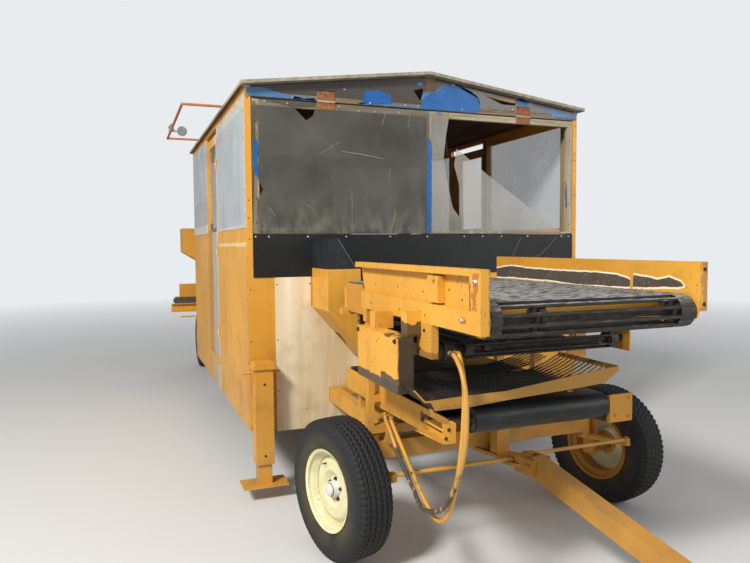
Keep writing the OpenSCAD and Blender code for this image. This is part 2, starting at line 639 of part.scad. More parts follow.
// rubber flap that leans over the chute
module chute_flap() color(rubber) place() {
  outer = [[-889, 1540], [-694, 1540], [-819, 1738], [-889, 1738]];
  across(-380, 374) difference() {
    polygon(outer);
    polygon([[-884, 1539], [-702, 1539], [-822, 1733], [-884, 1733]]);
  }
  across(-380, 5) polygon(outer);
}

module chain_guard() color(yellow) place() {
  span([-1000, -1757, 1035], [-921, -1244, 1288]);
  // brackets up to the rail of the conveyor
  span([-952, -1757, 1288], [conv_left - flange, -1690, 1400]);
  span([-980, -1440, 1288], [conv_left - flange, -1370, 1372]);
}
module motor() color("#5a5a58") place() {
  bar_x(-850, -750, low_y, low_z, 42, arc);
  for (x = [-838, -806]) bar_x(x, x + 8, low_y, low_z, 54, arc);
  span([conv_left - flange, -1859, 1199], [-850, -1710, 1350]);
  // ports of the two hoses, here and at the block below
  for (x = [-790, -764]) bar_y(x, low_y - 62, low_y - 30, low_z - 6, 12);
  for (p = [[-776, -1060], [-762, -1110]]) translate([p[0], p[1], 775]) cylinder(r = 13, h = 30, $fn = 24);
}
// hanging hydraulic hoses
module tube_along(pts, r) {
  n = len(pts);
  sides = 8;
  ring = [for (i = [0 : n - 1]) let (
      d = pts[min(i + 1, n - 1)] - pts[max(i - 1, 0)],
      t = d / norm(d),
      u0 = cross(t, [1, 0, 0]),
      u = u0 / norm(u0),
      v = cross(t, u))
    for (k = [0 : sides - 1]) pts[i] + r * (cos(360 * k / sides) * u + sin(360 * k / sides) * v)];
  polyhedron(points = ring, faces = concat(
    [[for (k = [sides - 1 : -1 : 0]) k]],
    [for (i = [0 : n - 2]) for (k = [0 : sides - 1])
      [i * sides + k, i * sides + (k + 1) % sides, (i + 1) * sides + (k + 1) % sides, (i + 1) * sides + k]],
    [[for (k = [0 : sides - 1]) (n - 1) * sides + k]]));
}
// smooth line through points, with n steps from each to the next
function smooth(p, n) = concat([for (i = [0 : len(p) - 2], k = [0 : n - 1]) let (
    t = k / n, a = p[max(i - 1, 0)], b = p[i], c = p[i + 1], d = p[min(i + 2, len(p) - 1)])
  b + t / 2 * (c - a + t * (2 * a - 5 * b + 4 * c - d + t * (3 * b - a - 3 * c + d)))], [p[len(p) - 1]]);
hose_a_route = [
  [-764, -1850.5, 1219], [-764, -1858, 1219], [-764, -1867, 1219], [-765, -1893, 1208],
  [-772, -1946, 1085], [-774, -1941, 905], [-774, -1915, 762], [-774, -1870, 615],
  [-773, -1812, 494], [-772, -1742, 424], [-771, -1662, 406], [-770, -1582, 432],
  [-769, -1490, 484], [-767, -1370, 560], [-765, -1255, 636], [-762, -1128, 718],
  [-762, -1112, 744], [-762, -1110, 760], [-762, -1110, 774.5]];
hose_b_route = [
  [-790, -1850.5, 1219], [-790, -1859, 1219], [-790, -1868, 1219], [-793, -1912, 1208],
  [-797, -1972, 1152], [-799, -2008, 1065], [-801, -2018, 968], [-802, -2008, 852],
  [-802, -1966, 732], [-802, -1888, 600], [-802, -1812, 517], [-801, -1706, 458],
  [-799, -1590, 431], [-783, -1490, 438], [-768, -1418, 456], [-767, -1332, 502],
  [-775, -1268, 560], [-786, -1212, 634], [-788, -1140, 704], [-783, -1086, 728],
  [-777, -1063, 748], [-776, -1060, 761], [-776, -1060, 774.5]];
module hose_a() color(rubber) place() tube_along(smooth(hose_a_route, 2), 11);
module hose_b() color(rubber) place() tube_along(smooth(hose_b_route, 2), 11);

// Steering and tongue, drawn straight and turned together
module tongue_head() color(yellow) steered(chassis_x) {
  translate([0, 0, 458]) linear_extrude(20) polygon([[-60, 50], [60, 50], [60, -150], [arm_x + 30, -arm_y + 40],
    [arm_x + 30, -arm_y - 30], [67, -345], [-67, -345], [-arm_x - 30, -arm_y - 30], [-arm_x - 30, -arm_y + 40], [-60, -150]]);
  translate([0, 0, 478]) cylinder(r = 45, h = beam_z - 478 - 0.5, $fn = arc);
  translate([0, 0, 440]) cylinder(r = 25, h = 200, $fn = arc);
  translate([0, 0, rail_z + 0.5]) linear_extrude(16) polygon([[-50, 50], [50, 50], [50, -150], [-50, -150]]);
  span([-50, -150, 478], [50, -95, rail_z + 0.5]);
  for (s = [-1, 1]) {
    translate([s * arm_x, -arm_y, 478]) cylinder(r = 12, h = 30, $fn = arc);
    span([s > 0 ? 52 : -67, -head_pin_d - 45, 430], [s > 0 ? 67 : -52, -300, 520]);
  }
  span([-52, -342, 478], [52, -305, 520]);
  bar_x(-75, 75, -head_pin_d, head_pin_z, 16, arc);
}
module tongue() color(yellow) steered(chassis_x) translate([0, -head_pin_d, head_pin_z]) rotate([tongue_drop, 0, 0])
  difference() {
    union() {
      bar_x(-50, 50, 0, 0, tongue_w / 2, arc);
      span([-tongue_w / 2, -tongue_l + 120, -tongue_w / 2], [tongue_w / 2, 0, tongue_w / 2]);
      span([-22, -tongue_l, -eye_t / 2], [22, -tongue_l + 120, eye_t / 2]);
      translate([0, -tongue_l, -eye_t / 2]) cylinder(r = eye_out, h = eye_t, $fn = arc);
    }
    bar_x(-51, 51, 0, 0, 16 + pin_gap, arc);
    translate([0, -tongue_l, -eye_t / 2 - 1]) cylinder(r = eye_r, h = eye_t + 2, $fn = arc);
  }
module knuckle(s) {
  translate([0, 0, 458]) cylinder(r = 40, h = 20, $fn = arc);
  translate([0, 0, beam_z + beam_h + 22]) cylinder(r = 40, h = 18, $fn = arc);
  translate([0, 0, 458]) cylinder(r = 20, h = 182, $fn = arc);
  span([s > 0 ? 0 : -72, -40, 458], [s > 0 ? 72 : 0, 40, 478]);
  span([s > 0 ? 0 : -72, -40, beam_z + beam_h + 22], [s > 0 ? 72 : 0, 40, beam_z + beam_h + 40]);
  span([s > 0 ? 52 : -72, -40, tyre_r - 45], [s > 0 ? 72 : -52, 40, beam_z + beam_h + 40]);
  // steering arm
  translate([0, 0, 458]) linear_extrude(20) polygon([[-30, 0], [30, 0], [s * arm_x + 24, -arm_y], [s * arm_x - 24, -arm_y]]);
  translate([s * arm_x, -arm_y, 458]) cylinder(r = 24, h = 20, $fn = arc);
  translate([s * arm_x, -arm_y, 478]) cylinder(r = 12, h = 30, $fn = arc);
  bar_x(s > 0 ? 72 : -wheel_off - 34, s > 0 ? wheel_off + 34 : -72, 0, tyre_r, 25, arc);
}
module knuckle_left() color(yellow) steered(chassis_x - kingpin_x) knuckle(-1);
module knuckle_right() color(yellow) steered(chassis_x + kingpin_x) knuckle(1);

// track rods: exact parallelogram with the head and the arms
function arm_at(s) = [s * arm_x * cos(steer) + arm_y * sin(steer), s * arm_x * sin(steer) - arm_y * cos(steer), 0];
module tie_rod(s) {
  place() translate([chassis_x, axle_y, 0] + arm_at(s)) difference() {
    union() {
      for (x = [0, s * kingpin_x]) translate([x, 0, 478 + seat]) cylinder(r = 22, h = 22, $fn = arc);
      bar_x(s > 0 ? 15 : -kingpin_x + 15, s > 0 ? kingpin_x - 15 : -15, 0, 489.5, 11, arc);
    }
    for (x = [0, s * kingpin_x]) translate([x, 0, 470]) cylinder(r = 12 + pin_gap, h = 40, $fn = arc);
  }
}
module tie_rod_left() color(yellow) tie_rod(-1);
module tie_rod_right() color(yellow) tie_rod(1);

// Wheels, drawn with the outboard side towards +X
module tyre() rotate([0, 90, 0]) rotate_extrude($fn = 72)
  polygon([[bead_r, -80], [bead_r + 16, -88], [bead_r + 40, -98], [295, -tyre_w / 2], [330, -tyre_w / 2 + 4], [360, -92],
    [tyre_r - 4, -80], [tyre_r, -60], [tyre_r, 60], [tyre_r - 4, 80], [360, 92], [330, tyre_w / 2 - 4], [295, tyre_w / 2],
    [bead_r + 40, 98], [bead_r + 16, 88], [bead_r, 80]]);
module rim() difference() {
  union() {
    rotate([0, 90, 0]) rotate_extrude($fn = 72)
      polygon([[bead_r - 4, -70], [bead_r - seat, -70], [bead_r - seat, -81], [bead_r + 12, -90], [bead_r + 12, -94], [bead_r - 4, -86]]);
    rotate([0, 90, 0]) rotate_extrude($fn = 72)
      polygon([[bead_r - 4, 70], [bead_r - seat, 70], [bead_r - seat, 81], [bead_r + 12, 90], [bead_r + 12, 94], [bead_r - 4, 86]]);
    rotate([0, 90, 0]) rotate_extrude($fn = 72)
      polygon([[bead_r - seat, -71], [bead_r - 30, -55], [bead_r - 30, 40], [bead_r - seat, 71], [bead_r - 4, 71], [bead_r - 34, 42], [bead_r - 34, -57], [bead_r - 4, -71]]);
    // dished disc
    rotate([0, 90, 0]) rotate_extrude($fn = 72)
      polygon([[30, 28], [70, 28], [100, 50], [150, 50], [bead_r - 32, 34], [bead_r - 32, 28], [150, 44], [102, 44], [72, 20], [30, 20]]);
    bar_x(-100, 60, 0, 0, 42, arc);
  }
  bar_x(-101, 36, 0, 0, 25 + pin_gap, arc);
}
module at_wheel(front, s) {
  if (front) steered(chassis_x + s * kingpin_x) translate([s * wheel_off, 0, tyre_r]) rotate([0, 0, s > 0 ? 0 : 180]) children();
  else place() translate([chassis_x + s * track_x, rear_axle, tyre_r]) rotate([0, 0, s > 0 ? 0 : 180]) children();
}
module tyre_fl() color(rubber) at_wheel(true, -1) tyre();
module tyre_fr() color(rubber) at_wheel(true, 1) tyre();
module tyre_rl() color(rubber) at_wheel(false, -1) tyre();
module tyre_rr() color(rubber) at_wheel(false, 1) tyre();
module rim_fl() color(cream) at_wheel(true, -1) rim();
module rim_fr() color(cream) at_wheel(true, 1) rim();
module rim_rl() color(cream) at_wheel(false, -1) rim();
module rim_rr() color(cream) at_wheel(false, 1) rim();

// Sorting table inside the cab
module sort_table() color(yellow) place() {
  for (x = [-664, 192]) {
    span([x, -280, 1330], [x + 6, 30, band_z - 2]);
    span([x, 30, 1330], [x + 6, cab_l + 250, 1560]);
  }
  for (x = [-664, 158]) for (y = [120, 1640, 3160]) span([x, y, rail_z + rail_h + 30], [x + 40, y + 40, 1330]);
  for (y = [120, 1640, 3160]) span([-658, y, 1290], [192, y + 40, 1330]);
}
module sort_chain() color("#33302c") place() rod_loop(-650, 184, -230, cab_l + 200, sort_z, sort_r, 90, rod_r);

// Cross conveyor behind the cab
module cross_frame() color(yellow) place() {
  for (c = [[cross_y, cross_left], [cross_end, cross_left + 120]]) {
    span([c[1], c[0], cross_z], [cross_right, c[0] + 6, cross_z + cross_h]);
    y = c[0] == cross_y ? c[0] - 40 : c[0];
    for (z = [cross_z, cross_z + cross_h - 6]) span([c[1], y, z], [cross_right, y + 46, z + 6]);
  }
  // uprights on the rails and a step at the left
  for (s = [-1, 1]) for (y = [cross_y - 30, cross_end])
    span([chassis_x + s * rail_x - 25, y, rail_z + rail_h], [chassis_x + s * rail_x + 25, y + 40, cross_z]);
  bar_x(cross_left + 105, chassis_x - rail_x - 25, cross_y - 10, cross_z - 60, 8);
}
module cross_belt() color(rubber) place() {
  a = cross_left + 140;
  b = cross_right - 60;
  across(cross_y + 10, cross_l - 20) difference() {
    flat_loop(a, b, cross_mid, 45);
    flat_loop(a, b, cross_mid, 37);
  }
}
module rear_hopper() color(yellow) place() {
  low = cross_z + cross_h;
  // board along the far channel
  span([cross_left + 180, cross_end, low], [cross_right - 50, cross_end + 8, low + 175]);
  difference() {
    span([-900, cross_y, low], [700, cross_end, hopper_z - 25]);
    span([-894, cross_y + 6, low - 1], [694, cross_end - 6, hopper_z]);
  }
  // pocket at its left side
  across(cross_y + 540, 400) difference() {
    polygon([[-900, 1320], [-1385, 1620], [-1385, hopper_z], [-900, hopper_z]]);
    polygon([[-899, 1326], [-1379, 1623], [-1379, hopper_z + 1], [-899, hopper_z + 1]]);
  }
  for (y = [cross_y + 540, cross_y + 934]) across(y, 6) polygon([[-900, 1320], [-1385, 1620], [-1385, hopper_z], [-900, hopper_z]]);
}

frame();
front_axle();
rear_axle();
cab_floor();
cab_posts();
wall_left();
wall_right();
wall_front();
front_sheet();
wall_rear();
front_band();
roof_sheets();
front_battens();
fixed_panes();
front_sash();
sash_left_pane();
sash_right_pane();
door_left();
door_left_pane();
door_right();
door_right_pane();
lamp_bar();
lamps();
jack_sleeve();
jack_leg();
side_left();
side_right();
front_chain();
rollers();
lower_chain();
rod_tray();
belt_frame();
lower_belt();
chute();
chute_flap();
chain_guard();
motor();
hose_a();
hose_b();
tongue_head();
tongue();
knuckle_left();
knuckle_right();
tie_rod_left();
tie_rod_right();
tyre_fl();
tyre_fr();
tyre_rl();
tyre_rr();
rim_fl();
rim_fr();
rim_rl();
rim_rr();
sort_table();
sort_chain();
cross_frame();
cross_belt();
rear_hopper();
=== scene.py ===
# %% [markdown]
# # A towed potato sorting trailer
# The solids come from CAD and stay where they are. Here they get their finishes, and the things that
# a maker adds last: tread, bolts, hoses, worn paint, dirt and broken window sheet. Everything is in
# metres, in the CAD's frame: X runs across, the front faces -Y, Z is up, and the ground is Z = 0.

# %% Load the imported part
import math

import bmesh
import bpy
import numpy as np
from mathutils import Matrix, Vector


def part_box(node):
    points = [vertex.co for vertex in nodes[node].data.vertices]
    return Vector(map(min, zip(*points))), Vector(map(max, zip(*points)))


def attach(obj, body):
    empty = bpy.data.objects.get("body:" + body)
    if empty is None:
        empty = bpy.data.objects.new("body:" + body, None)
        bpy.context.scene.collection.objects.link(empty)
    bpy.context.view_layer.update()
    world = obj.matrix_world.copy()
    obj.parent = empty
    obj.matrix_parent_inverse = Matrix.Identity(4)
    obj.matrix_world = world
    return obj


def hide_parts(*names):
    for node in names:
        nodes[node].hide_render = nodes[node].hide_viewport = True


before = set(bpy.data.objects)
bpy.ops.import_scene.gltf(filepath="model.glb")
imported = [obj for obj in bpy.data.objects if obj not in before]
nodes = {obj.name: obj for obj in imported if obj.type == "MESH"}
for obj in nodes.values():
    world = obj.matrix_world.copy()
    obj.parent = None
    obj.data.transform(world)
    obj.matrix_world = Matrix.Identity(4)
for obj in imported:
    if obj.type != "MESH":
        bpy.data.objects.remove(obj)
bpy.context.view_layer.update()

# %% [markdown]
# Positions below are first thought of in the maker's own frame, whose zero is the middle of the cab's
# front wall on the ground. One fixed step takes them to the part's frame, whose zero is the middle of
# its box, so that every number here can be compared with the drawing.

# %% The step between the two frames
WALL_X, WALL_Y = -1.335, 0.040       # the left wall's outer face and front end in the drawing, in metres
wall_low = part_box("wall_left")[0]
SHIFT = np.array([wall_low[0] - WALL_X, wall_low[1] - WALL_Y, 0.0])
print("step", SHIFT)


def at(x, y, z):
    """A point of the drawing, in millimetres, as a point of the part, in metres."""
    return np.array([x, y, z], float) / 1000.0 + SHIFT


def all_at(points):
    """Many drawing points, one to a row, as points of the part."""
    return np.asarray(points, float) / 1000.0 + SHIFT


def in_scene(name, data):
    """A new object with its data, linked to the scene."""
    thing = bpy.data.objects.new(name, data)
    bpy.context.scene.collection.objects.link(thing)
    return thing


# %% [markdown]
# ## Camera
# The viewing angle of the photograph was worked out from the cab's corners and the wheels. A camera
# is only a place, three angles and a focal length, so they are written down as they are.

# %% Camera
camera_data = bpy.data.cameras.new("camera")
camera = in_scene("camera", camera_data)
camera_data.sensor_fit = "HORIZONTAL"
camera_data.sensor_width = 36.0
camera_data.lens = 31.2
camera_data.clip_end = 200.0
YAW, PITCH, ROLL = (math.radians(a) for a in (21.19, 3.2, -0.41))
EYE = (-2110, -4357, 1693)           # in drawing millimetres
# the camera looks down its own -Z: rolled, tipped up to the horizon less the pitch, then turned right
turn = (Matrix.Rotation(-YAW, 4, "Z") @ Matrix.Rotation(math.pi / 2 - PITCH, 4, "X")
        @ Matrix.Rotation(ROLL, 4, "Z"))
camera.matrix_world = Matrix.Translation(at(*EYE)) @ turn
bpy.context.scene.camera = camera

# %% [markdown]
# ## Hydraulic hoses
# Two worn hoses hang in long loops from the motor of the lower chain to the ports beside the belt. A
# hose is a fixed length of rubber, so each is one smooth line through the drawing's points. The line
# between two points is a cubic that looks at the points before and after, as in the drawing.

# %% Hose routes
ROUTES = {
    "hose_a": [(-764, -1850.5, 1219), (-764, -1858, 1219), (-764, -1867, 1219), (-765, -1893, 1208),
               (-772, -1946, 1085), (-774, -1941, 905), (-774, -1915, 762), (-774, -1870, 615),
               (-773, -1812, 494), (-772, -1742, 424), (-771, -1662, 406), (-770, -1582, 432),
               (-769, -1490, 484), (-767, -1370, 560), (-765, -1255, 636), (-762, -1128, 718),
               (-762, -1112, 744), (-762, -1110, 760), (-762, -1110, 774.5)],
    "hose_b": [(-790, -1850.5, 1219), (-790, -1859, 1219), (-790, -1868, 1219), (-793, -1912, 1208),
               (-797, -1972, 1152), (-799, -2008, 1065), (-801, -2018, 968), (-802, -2008, 852),
               (-802, -1966, 732), (-802, -1888, 600), (-802, -1812, 517), (-801, -1706, 458),
               (-799, -1590, 431), (-783, -1490, 438), (-768, -1418, 456), (-767, -1332, 502),
               (-775, -1268, 560), (-786, -1212, 634), (-788, -1140, 704), (-783, -1086, 728),
               (-777, -1063, 748), (-776, -1060, 761), (-776, -1060, 774.5)],
}


def smooth_line(points, n):
    """n points from each point to the next: b + t/2 (c - a + t (2a - 5b + 4c - d + t (3b - a - 3c + d)))."""
    p = np.asarray(points, float)
    k = np.arange(len(p) - 1)
    a, b, c, d = p[np.maximum(k - 1, 0)], p[k], p[k + 1], p[np.minimum(k + 2, len(p) - 1)]
    t = (np.arange(n) / n)[None, :, None]
    a, b, c, d = (q[:, None, :] for q in (a, b, c, d))
    line = b + t / 2 * (c - a + t * (2 * a - 5 * b + 4 * c - d + t * (3 * b - a - 3 * c + d)))
    return np.vstack([line.reshape(-1, p.shape[1]), p[-1:]])


# %% [markdown]
# ## Mesh helpers
# Each new piece is a grid worked out with numpy, a profile turned about a line, or a cut sheet.
# The arrays go into a mesh in one step, which is quicker and easier to check than adding points one by
# one. Small fasteners share one mesh per group, because a hundred bolts as objects would be slow.

# %% Mesh helpers


def new_piece(name, points, faces, body, material, smooth=False, recalculate=False):
    """A mesh object from arrays of points (metres) and faces, riding on a body of the part."""
    mesh = bpy.data.meshes.new(name)
    mesh.from_pydata(np.asarray(points, float).tolist(), [], [list(map(int, f)) for f in faces])
    mesh.validate()
    if recalculate:
        loose = bmesh.new()
        loose.from_mesh(mesh)
        bmesh.ops.recalc_face_normals(loose, faces=loose.faces)
        loose.to_mesh(mesh)
        loose.free()
    mesh.update()
    if smooth:
        mesh.polygons.foreach_set("use_smooth", [True] * len(mesh.polygons))
    piece = in_scene(name, mesh)
    mesh.materials.append(material)
    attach(piece, body)
    return piece


def grid_faces(rows, cols, wrap_rows=False, wrap_cols=False):
    """Quads of a grid of rows x cols points, each row following the last."""
    r = np.arange(rows if wrap_rows else rows - 1)
    c = np.arange(cols if wrap_cols else cols - 1)
    rr, cc = np.meshgrid(r, c, indexing="ij")
    r2, c2 = (rr + 1) % rows, (cc + 1) % cols
    return np.stack([rr * cols + cc, rr * cols + c2, r2 * cols + c2, r2 * cols + cc], -1).reshape(-1, 4)


def torn_edge(outline, step_mm, wobble_mm, seed):
    """An outline with a point every step_mm, each pushed off the straight edge by up to wobble_mm."""
    dice = np.random.default_rng(seed)
    p = np.asarray(outline, float)
    out = []
    for a, b in zip(p, np.roll(p, -1, axis=0)):
        n = max(1, int(np.linalg.norm(b - a) / step_mm))
        t = np.arange(n)[:, None] / n
        side = np.array([a[1] - b[1], b[0] - a[0]]) / max(1e-6, np.linalg.norm(b - a))
        push = dice.uniform(-1, 1, (n, 1)) * wobble_mm
        push[0] *= 0.3
        out.append(a + t * (b - a) + push * side)
    return np.vstack(out)


def cut_sheet(name, outline, plane, level, thick, body, material):
    """A flat sheet thick mm deep. plane "y" takes (x, z) at y = level and grows to -y, plane "x" takes
    (y, z) at x = level and grows towards -x, plane "z" takes (x, y) at z = level and grows up."""
    p = np.asarray(outline, float)
    n = len(p)
    order = {"y": (0, 2, 1), "x": (1, 2, 0), "z": (0, 1, 2)}[plane]
    grow = thick if plane == "z" else -thick
    both = np.zeros((2 * n, 3))
    both[:, order[0]] = np.tile(p[:, 0], 2)
    both[:, order[1]] = np.tile(p[:, 1], 2)
    both[:, order[2]] = np.repeat([level, level + grow], n)
    k = np.arange(n)
    side = np.stack([k, (k + 1) % n, (k + 1) % n + n, k + n], -1)
    faces = [list(k[::-1]), list(k + n)] + [list(f) for f in side]
    return new_piece(name, all_at(both), faces, body, material, recalculate=True)


def turned_heads(name, places, outward, profile, sides, material, body="trailer", smooth=None):
    """Fasteners in one mesh: profile rows are (radius, height) in mm, turned about outward at each place.
    Heads of more than six sides are round, so they are smooth if nothing else is said."""
    w = np.asarray(outward, float) / np.linalg.norm(outward)
    u = np.cross(w, [0.0, 0.0, 1.0] if abs(w[2]) < 0.9 else [1.0, 0.0, 0.0])
    u /= np.linalg.norm(u)
    v = np.cross(w, u)
    angle = np.arange(sides) * 2 * np.pi / sides
    ring = np.cos(angle)[:, None] * u + np.sin(angle)[:, None] * v
    prof = np.asarray(profile, float)
    one = (prof[:, None, 0, None] * ring[None] + prof[:, None, 1, None] * w).reshape(-1, 3)
    faces = grid_faces(len(prof), sides, wrap_cols=True)
    cap = np.arange(sides)[None, :] + (len(prof) - 1) * sides
    base = np.asarray(places, float)
    points = (base[:, None] + one[None]).reshape(-1, 3)
    shift = np.arange(len(base)) * len(one)
    quads = (faces[None] + shift[:, None, None]).reshape(-1, 4)
    caps = (cap[None] + shift[:, None, None]).reshape(-1, sides)
    return new_piece(name, all_at(points), [list(f) for f in quads] + [list(f) for f in caps], body, material,
                     smooth=sides > 6 if smooth is None else smooth, recalculate=True)


HEADS = {
    # kind: sides, then the profile as (radius, height) in mm; a washer comes before the head of a bolt
    "hex": (6, [(13, 0), (13, 1.6), (9.5, 1.7), (9.5, 8), (8, 9.5)]),
    "small": (6, [(9, 0), (9, 1.2), (6.5, 1.3), (6.5, 5), (5.6, 6)]),
    "round": (12, [(7, 0), (7, 0.8), (6, 2.4), (3.4, 3.6), (0.6, 4)]),
    "flat": (8, [(5, 0), (5, 0.6), (4, 1.5), (0.5, 2)]),
}
HEADS["rivet"] = (10, HEADS["flat"][1])
HEADS["flat screw"] = (12, HEADS["flat"][1])
LEFT, RIGHT, FRONT, BACK = (-1, 0, 0), (1, 0, 0), (0, -1, 0), (0, 1, 0)


def row(start, end, n):
    """n points from start to end, both included."""
    t = np.linspace(0, 1, n)[:, None]
    return np.asarray(start, float) + t * (np.asarray(end, float) - np.asarray(start, float))


def fasten(rows):
    """Make rows of fasteners: name, outward, level along it, kind, finish, points, and a body other than the
    trailer. Points hold the two coordinates across outward. Returns how many there are."""
    for name, outward, level, kind, finish, points, *body in rows:
        sides, profile = HEADS[kind]
        turned_heads(name, np.insert(np.asarray(points, float), 0 if outward[0] else 1, level, axis=1), outward,
                     profile, sides, finish, *body)
    return sum(len(entry[5]) for entry in rows)


# %% [markdown]
# ## Finishes
# Colours are written as the sRGB hex values that a colour card gives, and one function turns them to
# the linear numbers that the shader works in. new_material starts a material, the other helpers add
# nodes to the newest one, and finished feeds its shader. One material is made at a time.

# %% Colour and node helpers
material = tree = shader = place = None       # the newest material: itself, its nodes, its shader, its place


def colour(hex_value):
    """sRGB hex to linear RGBA."""
    s = [int(hex_value.lstrip("#")[i:i + 2], 16) / 255 for i in (0, 2, 4)]
    return [c / 12.92 if c <= 0.04045 else ((c + 0.055) / 1.055) ** 2.4 for c in s] + [1.0]


def feed(socket, value):
    """Give an input a number, three numbers, a colour in hex, or what another node puts out."""
    if isinstance(value, bpy.types.NodeSocket):
        tree.links.new(value, socket)
    else:
        socket.default_value = colour(value) if isinstance(value, str) else value


def add(kind, settings=None, **links):
    """One node of the newest material. settings are its properties and sockets, links what feeds an input,
    called by its name or by i and its number."""
    node = tree.nodes.new(kind)
    for key, value in (settings or {}).items():
        if isinstance(key, int) or key in node.inputs:
            feed(node.inputs[key], value)
        else:
            setattr(node, key, value)
    for key, source in links.items():
        feed(node.inputs[int(key[1:]) if key[1:].isdigit() else key], source)
    return node


def new_material(name):
    """Start an empty material with a Principled shader. A place is a point of the part, in metres."""
    global material, tree, shader, place
    material = bpy.data.materials.new(name)
    material.use_nodes = True
    tree = material.node_tree
    tree.nodes.clear()
    shader = add("ShaderNodeBsdfPrincipled")
    add("ShaderNodeOutputMaterial", Surface=shader.outputs[0])
    place = add("ShaderNodeTexCoord").outputs["Object"]


def finished(relief, relief_mm, strength=0.5, **sockets):
    """Feed the shader's sockets and its small relief, and hand over the material."""
    for key, value in sockets.items():
        feed(shader.inputs[key.replace("_", " ")], value)
    node = add("ShaderNodeBump", {"Strength": strength, "Distance": relief_mm / 1000.0}, Height=relief)
    feed(shader.inputs["Normal"], node.outputs[0])
    return material


def mix(factor, first, second):
    """Blend two colours (hex text or a socket) by a factor socket."""
    return add("ShaderNodeMix", {"data_type": "RGBA"}, i0=factor, i6=first, i7=second).outputs[2]


def noise(size_mm, detail=4.0, stretch=(1, 1, 1), shift=(0, 0, 0)):
    """Noise whose blobs are about size_mm across, stretched along the axes."""
    mapping = add("ShaderNodeMapping", {"Scale": stretch, "Location": shift}, Vector=place)
    return add("ShaderNodeTexNoise", {"Scale": 1000.0 / size_mm, "Detail": detail},
               Vector=mapping.outputs[0]).outputs[0]


def step(value, low, high, a=0.0, b=1.0):
    """Map a value between low and high to a..b, held at the ends."""
    return add("ShaderNodeMapRange", {1: low, 2: high, 3: a, 4: b}, Value=value).outputs[0]


def layers(tone, *rows):
    """Lay colours over a tone: each row is (field, low, high, how much, colour), with none of the colour
    where the field is at low and how much of it at high."""
    for field, low, high, amount, over in rows:
        tone = mix(step(field, low, high, 0, amount), tone, over)
    return tone


def numbered(values):
    """The keys that add takes for the first inputs of a node."""
    return {"i%d" % k: value for k, value in enumerate(values)}


def math_node(operation, *values):
    """One sum of value sockets or plain numbers."""
    return add("ShaderNodeMath", {"operation": operation}, **numbered(values)).outputs[0]


def times(a, b):
    return math_node("MULTIPLY", a, b)


def most(a, b):
    return math_node("MAXIMUM", a, b)


def vector_node(operation, *values, output="Vector"):
    """One sum of vectors, sockets or three numbers each."""
    return add("ShaderNodeVectorMath", {"operation": operation}, **numbered(values)).outputs[output]


def parts_of(where):
    """X, Y and Z of a place, in metres of the part."""
    return add("ShaderNodeSeparateXYZ", Vector=where).outputs


def upward():
    """How far a face looks up: 1 on top, 0 on a wall, -1 underneath."""
    return parts_of(add("ShaderNodeNewGeometry").outputs["Normal"])[2]


OPEN = (None, None, None)


def inside(low, high, soft_mm=3.0, where=None):
    """1 inside a box given in drawing millimetres, 0 outside. None leaves a side open."""
    factor = None
    xyz = parts_of(where or place)
    for k in range(3):
        for bound, sign in ((low[k], 1), (high[k], -1)):
            if bound is None:
                continue
            edge = bound / 1000.0 + SHIFT[k]
            soft = sign * soft_mm / 1000.0
            part = step(xyz[k], edge - soft, edge + soft)
            factor = part if factor is None else times(factor, part)
    return factor


def wavy(size_mm, push_mm):
    """The place pushed about by noise, so that a painted border isn't ruler straight."""
    field = add("ShaderNodeTexNoise", {"Scale": 1000.0 / size_mm, "Detail": 4.0}, Vector=place).outputs[1]
    push = add("ShaderNodeVectorMath", {"operation": "SCALE", "Scale": push_mm / 500.0},
               i0=vector_node("SUBTRACT", field, (0.5, 0.5, 0.5))).outputs[0]
    return vector_node("ADD", place, push)


def zoned(tone, zones, soft_mm, *mottle):
    """Paint zones over a tone: (low corner, high corner, hex, strength, border wobble in mm), with the length
    of the border's waves in mm as a sixth number where 45 isn't right. mottle are layers over their colour."""
    for low, high, over, strength, wobble, *wave in zones:
        border = wavy(wave[0] if wave else 45, wobble) if wobble else place
        tone = mix(times(inside(low, high, soft_mm, border), strength), tone, layers(over, *mottle))
    return tone


def worn_corner(radius_mm=5.0):
    """1 on sharp edges, 0 on flat faces: how far a bevelled normal turns from the real one."""
    bevel = add("ShaderNodeBevel", {"samples": 4, "Radius": radius_mm / 1000.0}).outputs[0]
    plain = add("ShaderNodeNewGeometry").outputs["Normal"]
    return step(vector_node("DOT_PRODUCT", bevel, plain, output="Value"), 0.995, 0.90)


# %% [markdown]
# ## Amber enamel on sheet steel
# Old brushed-on alkyd enamel over mild steel: the colour drifts from sheet to sheet, chips along the
# edges show primer and rust, mud dusts the lowest half metre, and long streaks run down where rain has
# washed the dirt. The chips follow a bevelled normal, which knows where an edge is without any UV map.

# %% Amber enamel


def broken_line(along, points):
    """The height, as a socket, of straight pieces through (distance along, height) points in mm."""
    height = points[0][1] / 1000
    for (a, low), (b, high) in zip(points, points[1:]):
        rise = step(along, a / 1000 + SHIFT[1], b / 1000 + SHIFT[1], 0.0, (high - low) / 1000)
        height = math_node("ADD", height, rise)
    return height


def scraped(paint, upper, lower, seam):
    """Paint scraped off between two lines, down to dark steel with a pale torn border. The seam keeps it."""
    y, z = parts_of(wavy(50, 5))[1:]
    depth = math_node("MINIMUM", math_node("SUBTRACT", z, broken_line(y, lower)),
                      math_node("SUBTRACT", broken_line(y, upper), z))
    off_seam = math_node("SUBTRACT", 1.0, inside((None, seam[0], None), (None, seam[1], None), 2))
    face = times(inside((None, -2192, None), (204, None, None), 1), off_seam)
    paint = mix(times(face, step(depth, -0.009, -0.007)), paint, "#F1E4C2")
    bare_tone = layers("#544A40", (noise(55, 6), 0.45, 0.7, 0.5, "#3E352C"))
    return mix(times(face, step(depth, 0.0, 0.0015)), paint, bare_tone)


